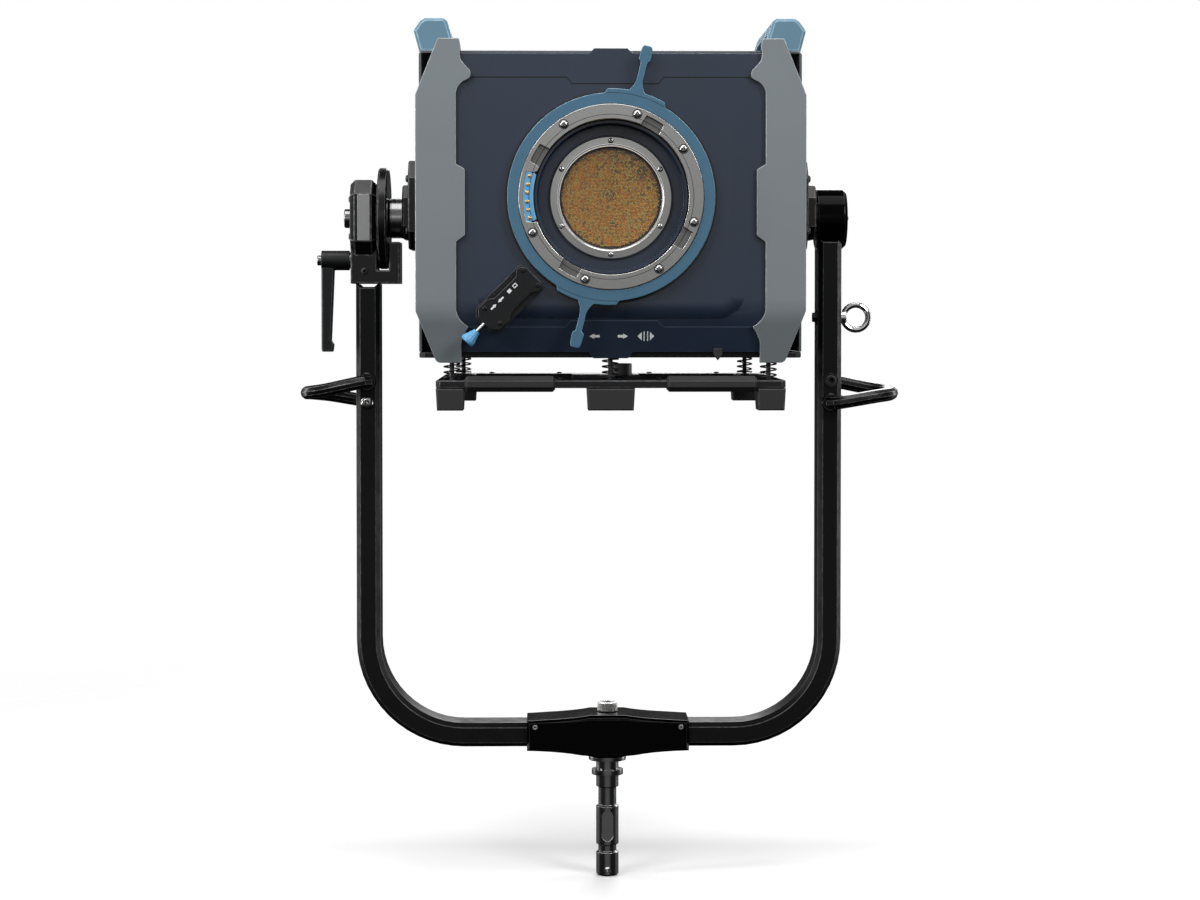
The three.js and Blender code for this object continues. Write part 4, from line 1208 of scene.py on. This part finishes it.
# ---- screws on the guards, handles and rear ----
panel_screws = []
for x in (-216, 216):
    for z in (870, 560):
        panel_screws.append(facing(TO_PLUS_Y, x, 223.6, z, spin=z))
for x in (-160, -55, 55, 160):
    for z in (888, 553):
        panel_screws.append(facing(TO_PLUS_Y, x, 209.6, z, spin=x))
for side, turn in ((-1, TO_MINUS_X), (1, TO_PLUS_X)):
    for y in (-112, 168):
        for z in (665, 775):
            panel_screws.append(facing(turn, side * 234.2, y, z, spin=y))
fasten("housing_screws", screw(4.0, 2.4, 2.8), panel_screws)

# ---- camera, light and floor ----
FLOOR_Z = cad_box[0].z - 0.0006
camera_data = bpy.data.cameras.new("camera")
camera_data.lens = 81
camera_data.sensor_width = 36
camera_data.shift_y = -0.054
camera = bpy.data.objects.new("camera", camera_data)
camera.location = (-0.0794, -3.429, 0.5916)
camera.rotation_euler = (math.radians(90 - 1.6), 0, math.radians(-1.17))
bpy.context.scene.collection.objects.link(camera)
bpy.context.scene.camera = camera
bpy.context.scene.view_settings.view_transform = "Standard"

world = bpy.data.worlds.new("studio")
bpy.context.scene.world = world
world.use_nodes = True
tree = world.node_tree
link = tree.links.new
backdrop = tree.nodes["Background"]
backdrop.inputs["Color"].default_value = (1, 1, 1, 1)
backdrop.inputs["Strength"].default_value = 1.0
dim = tree.nodes.new("ShaderNodeBackground")
coordinates = tree.nodes.new("ShaderNodeTexCoord")
axes = tree.nodes.new("ShaderNodeSeparateXYZ")
link(coordinates.outputs["Generated"], axes.inputs[0])


def sky_span(value, from_min, from_max, to_min, to_max):
    """A value of the sky mapped from one range to another."""
    span = tree.nodes.new("ShaderNodeMapRange")
    span.inputs["From Min"].default_value = from_min
    span.inputs["From Max"].default_value = from_max
    span.inputs["To Min"].default_value = to_min
    span.inputs["To Max"].default_value = to_max
    link(value, span.inputs["Value"])
    return span


def sky_math(operation, first, second=None):
    """Arithmetic on the sky's values."""
    made = tree.nodes.new("ShaderNodeMath")
    made.operation = operation
    link(first, made.inputs[0])
    if second is not None:
        link(second, made.inputs[1])
    return made


# Dark below the horizon, and three soft bright sectors round it.
height = sky_span(axes.outputs["Z"], -0.5, 0.1, 0.02, 0.62)
height.interpolation_type = "SMOOTHSTEP"
around = sky_math("ARCTAN2", axes.outputs["X"], axes.outputs["Y"])
turns = sky_math("MULTIPLY_ADD", around.outputs[0])
turns.inputs[1].default_value = 3.0
turns.inputs[2].default_value = math.pi
wave = sky_math("COSINE", turns.outputs[0])
sectors = sky_span(wave.outputs[0], -0.5, 0.7, 0.12, 1.0)
level = sky_math("MULTIPLY", height.outputs["Result"], sectors.outputs["Result"])
link(level.outputs[0], dim.inputs["Strength"])
path = tree.nodes.new("ShaderNodeLightPath")
choose = tree.nodes.new("ShaderNodeMixShader")
link(path.outputs["Is Camera Ray"], choose.inputs["Fac"])
link(dim.outputs[0], choose.inputs[1])
link(backdrop.outputs[0], choose.inputs[2])
link(choose.outputs[0], tree.nodes["World Output"].inputs["Surface"])


def softbox(name, at, towards, size, watts):
    """A square area light."""
    data = bpy.data.lights.new(name, "AREA")
    data.shape = "RECTANGLE"
    data.size, data.size_y = size
    data.energy = watts
    lamp = bpy.data.objects.new(name, data)
    lamp.location = at
    lamp.rotation_euler = (Vector(towards) - Vector(at)).to_track_quat("-Z", "Y").to_euler()
    bpy.context.scene.collection.objects.link(lamp)
    return lamp


# name, place, aim, size, watts
SOFTBOXES = [
    ("key_left", (-2.3, -3.0, 3.0), (0, 0, 0.7), (1.6, 1.4), 70),
    ("key_right", (2.5, -2.8, 2.6), (0, 0, 0.7), (1.4, 1.6), 72),
    ("top", (0, -0.6, 3.1), (0, 0, 0.6), (2.4, 1.8), 50),
    ("strip_left", (-2.4, 1.1, 0.7), (0, 0, 0.5), (0.45, 2.2), 18),
    ("strip_right", (2.4, 1.1, 0.7), (0, 0, 0.5), (0.45, 2.2), 18),
    ("side_left", (-2.7, -0.9, 0.95), (0, 0, 0.6), (0.5, 1.2), 26),
    ("front", (-0.2, -4.6, 1.5), (0, 0, 0.75), (1.8, 0.9), 5),
    ("rear", (0.6, 3.4, 2.0), (0, 0, 0.6), (2.0, 1.6), 60),
]
for softbox_row in SOFTBOXES:
    softbox(*softbox_row)

floor_mesh = lathed([[0, 0], [1200, 0], [2600, 0], [4200, 0]], 96)
floor_mesh.transform(Matrix.Translation((0, 0, FLOOR_Z / MM)))
floor_paint = Paint("pale_floor", "f2f2f2", 0.7)
floor_paint.relief(floor_paint.noise(60, 3), 0.05, 0.001)
floor_paint.feed(
    floor_paint.shader.inputs["Alpha"],
    floor_paint.span(floor_paint.radius((0, 0, 0), 2), 1.0, 0.0, 0.6, 2.3),
)
floor_mesh.materials.append(floor_paint.mat)
floor = place(floor_mesh, "floor", None, "yoke")
floor.parent = None
del floor["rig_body"]
floor.visible_diffuse = False
floor.visible_glossy = False
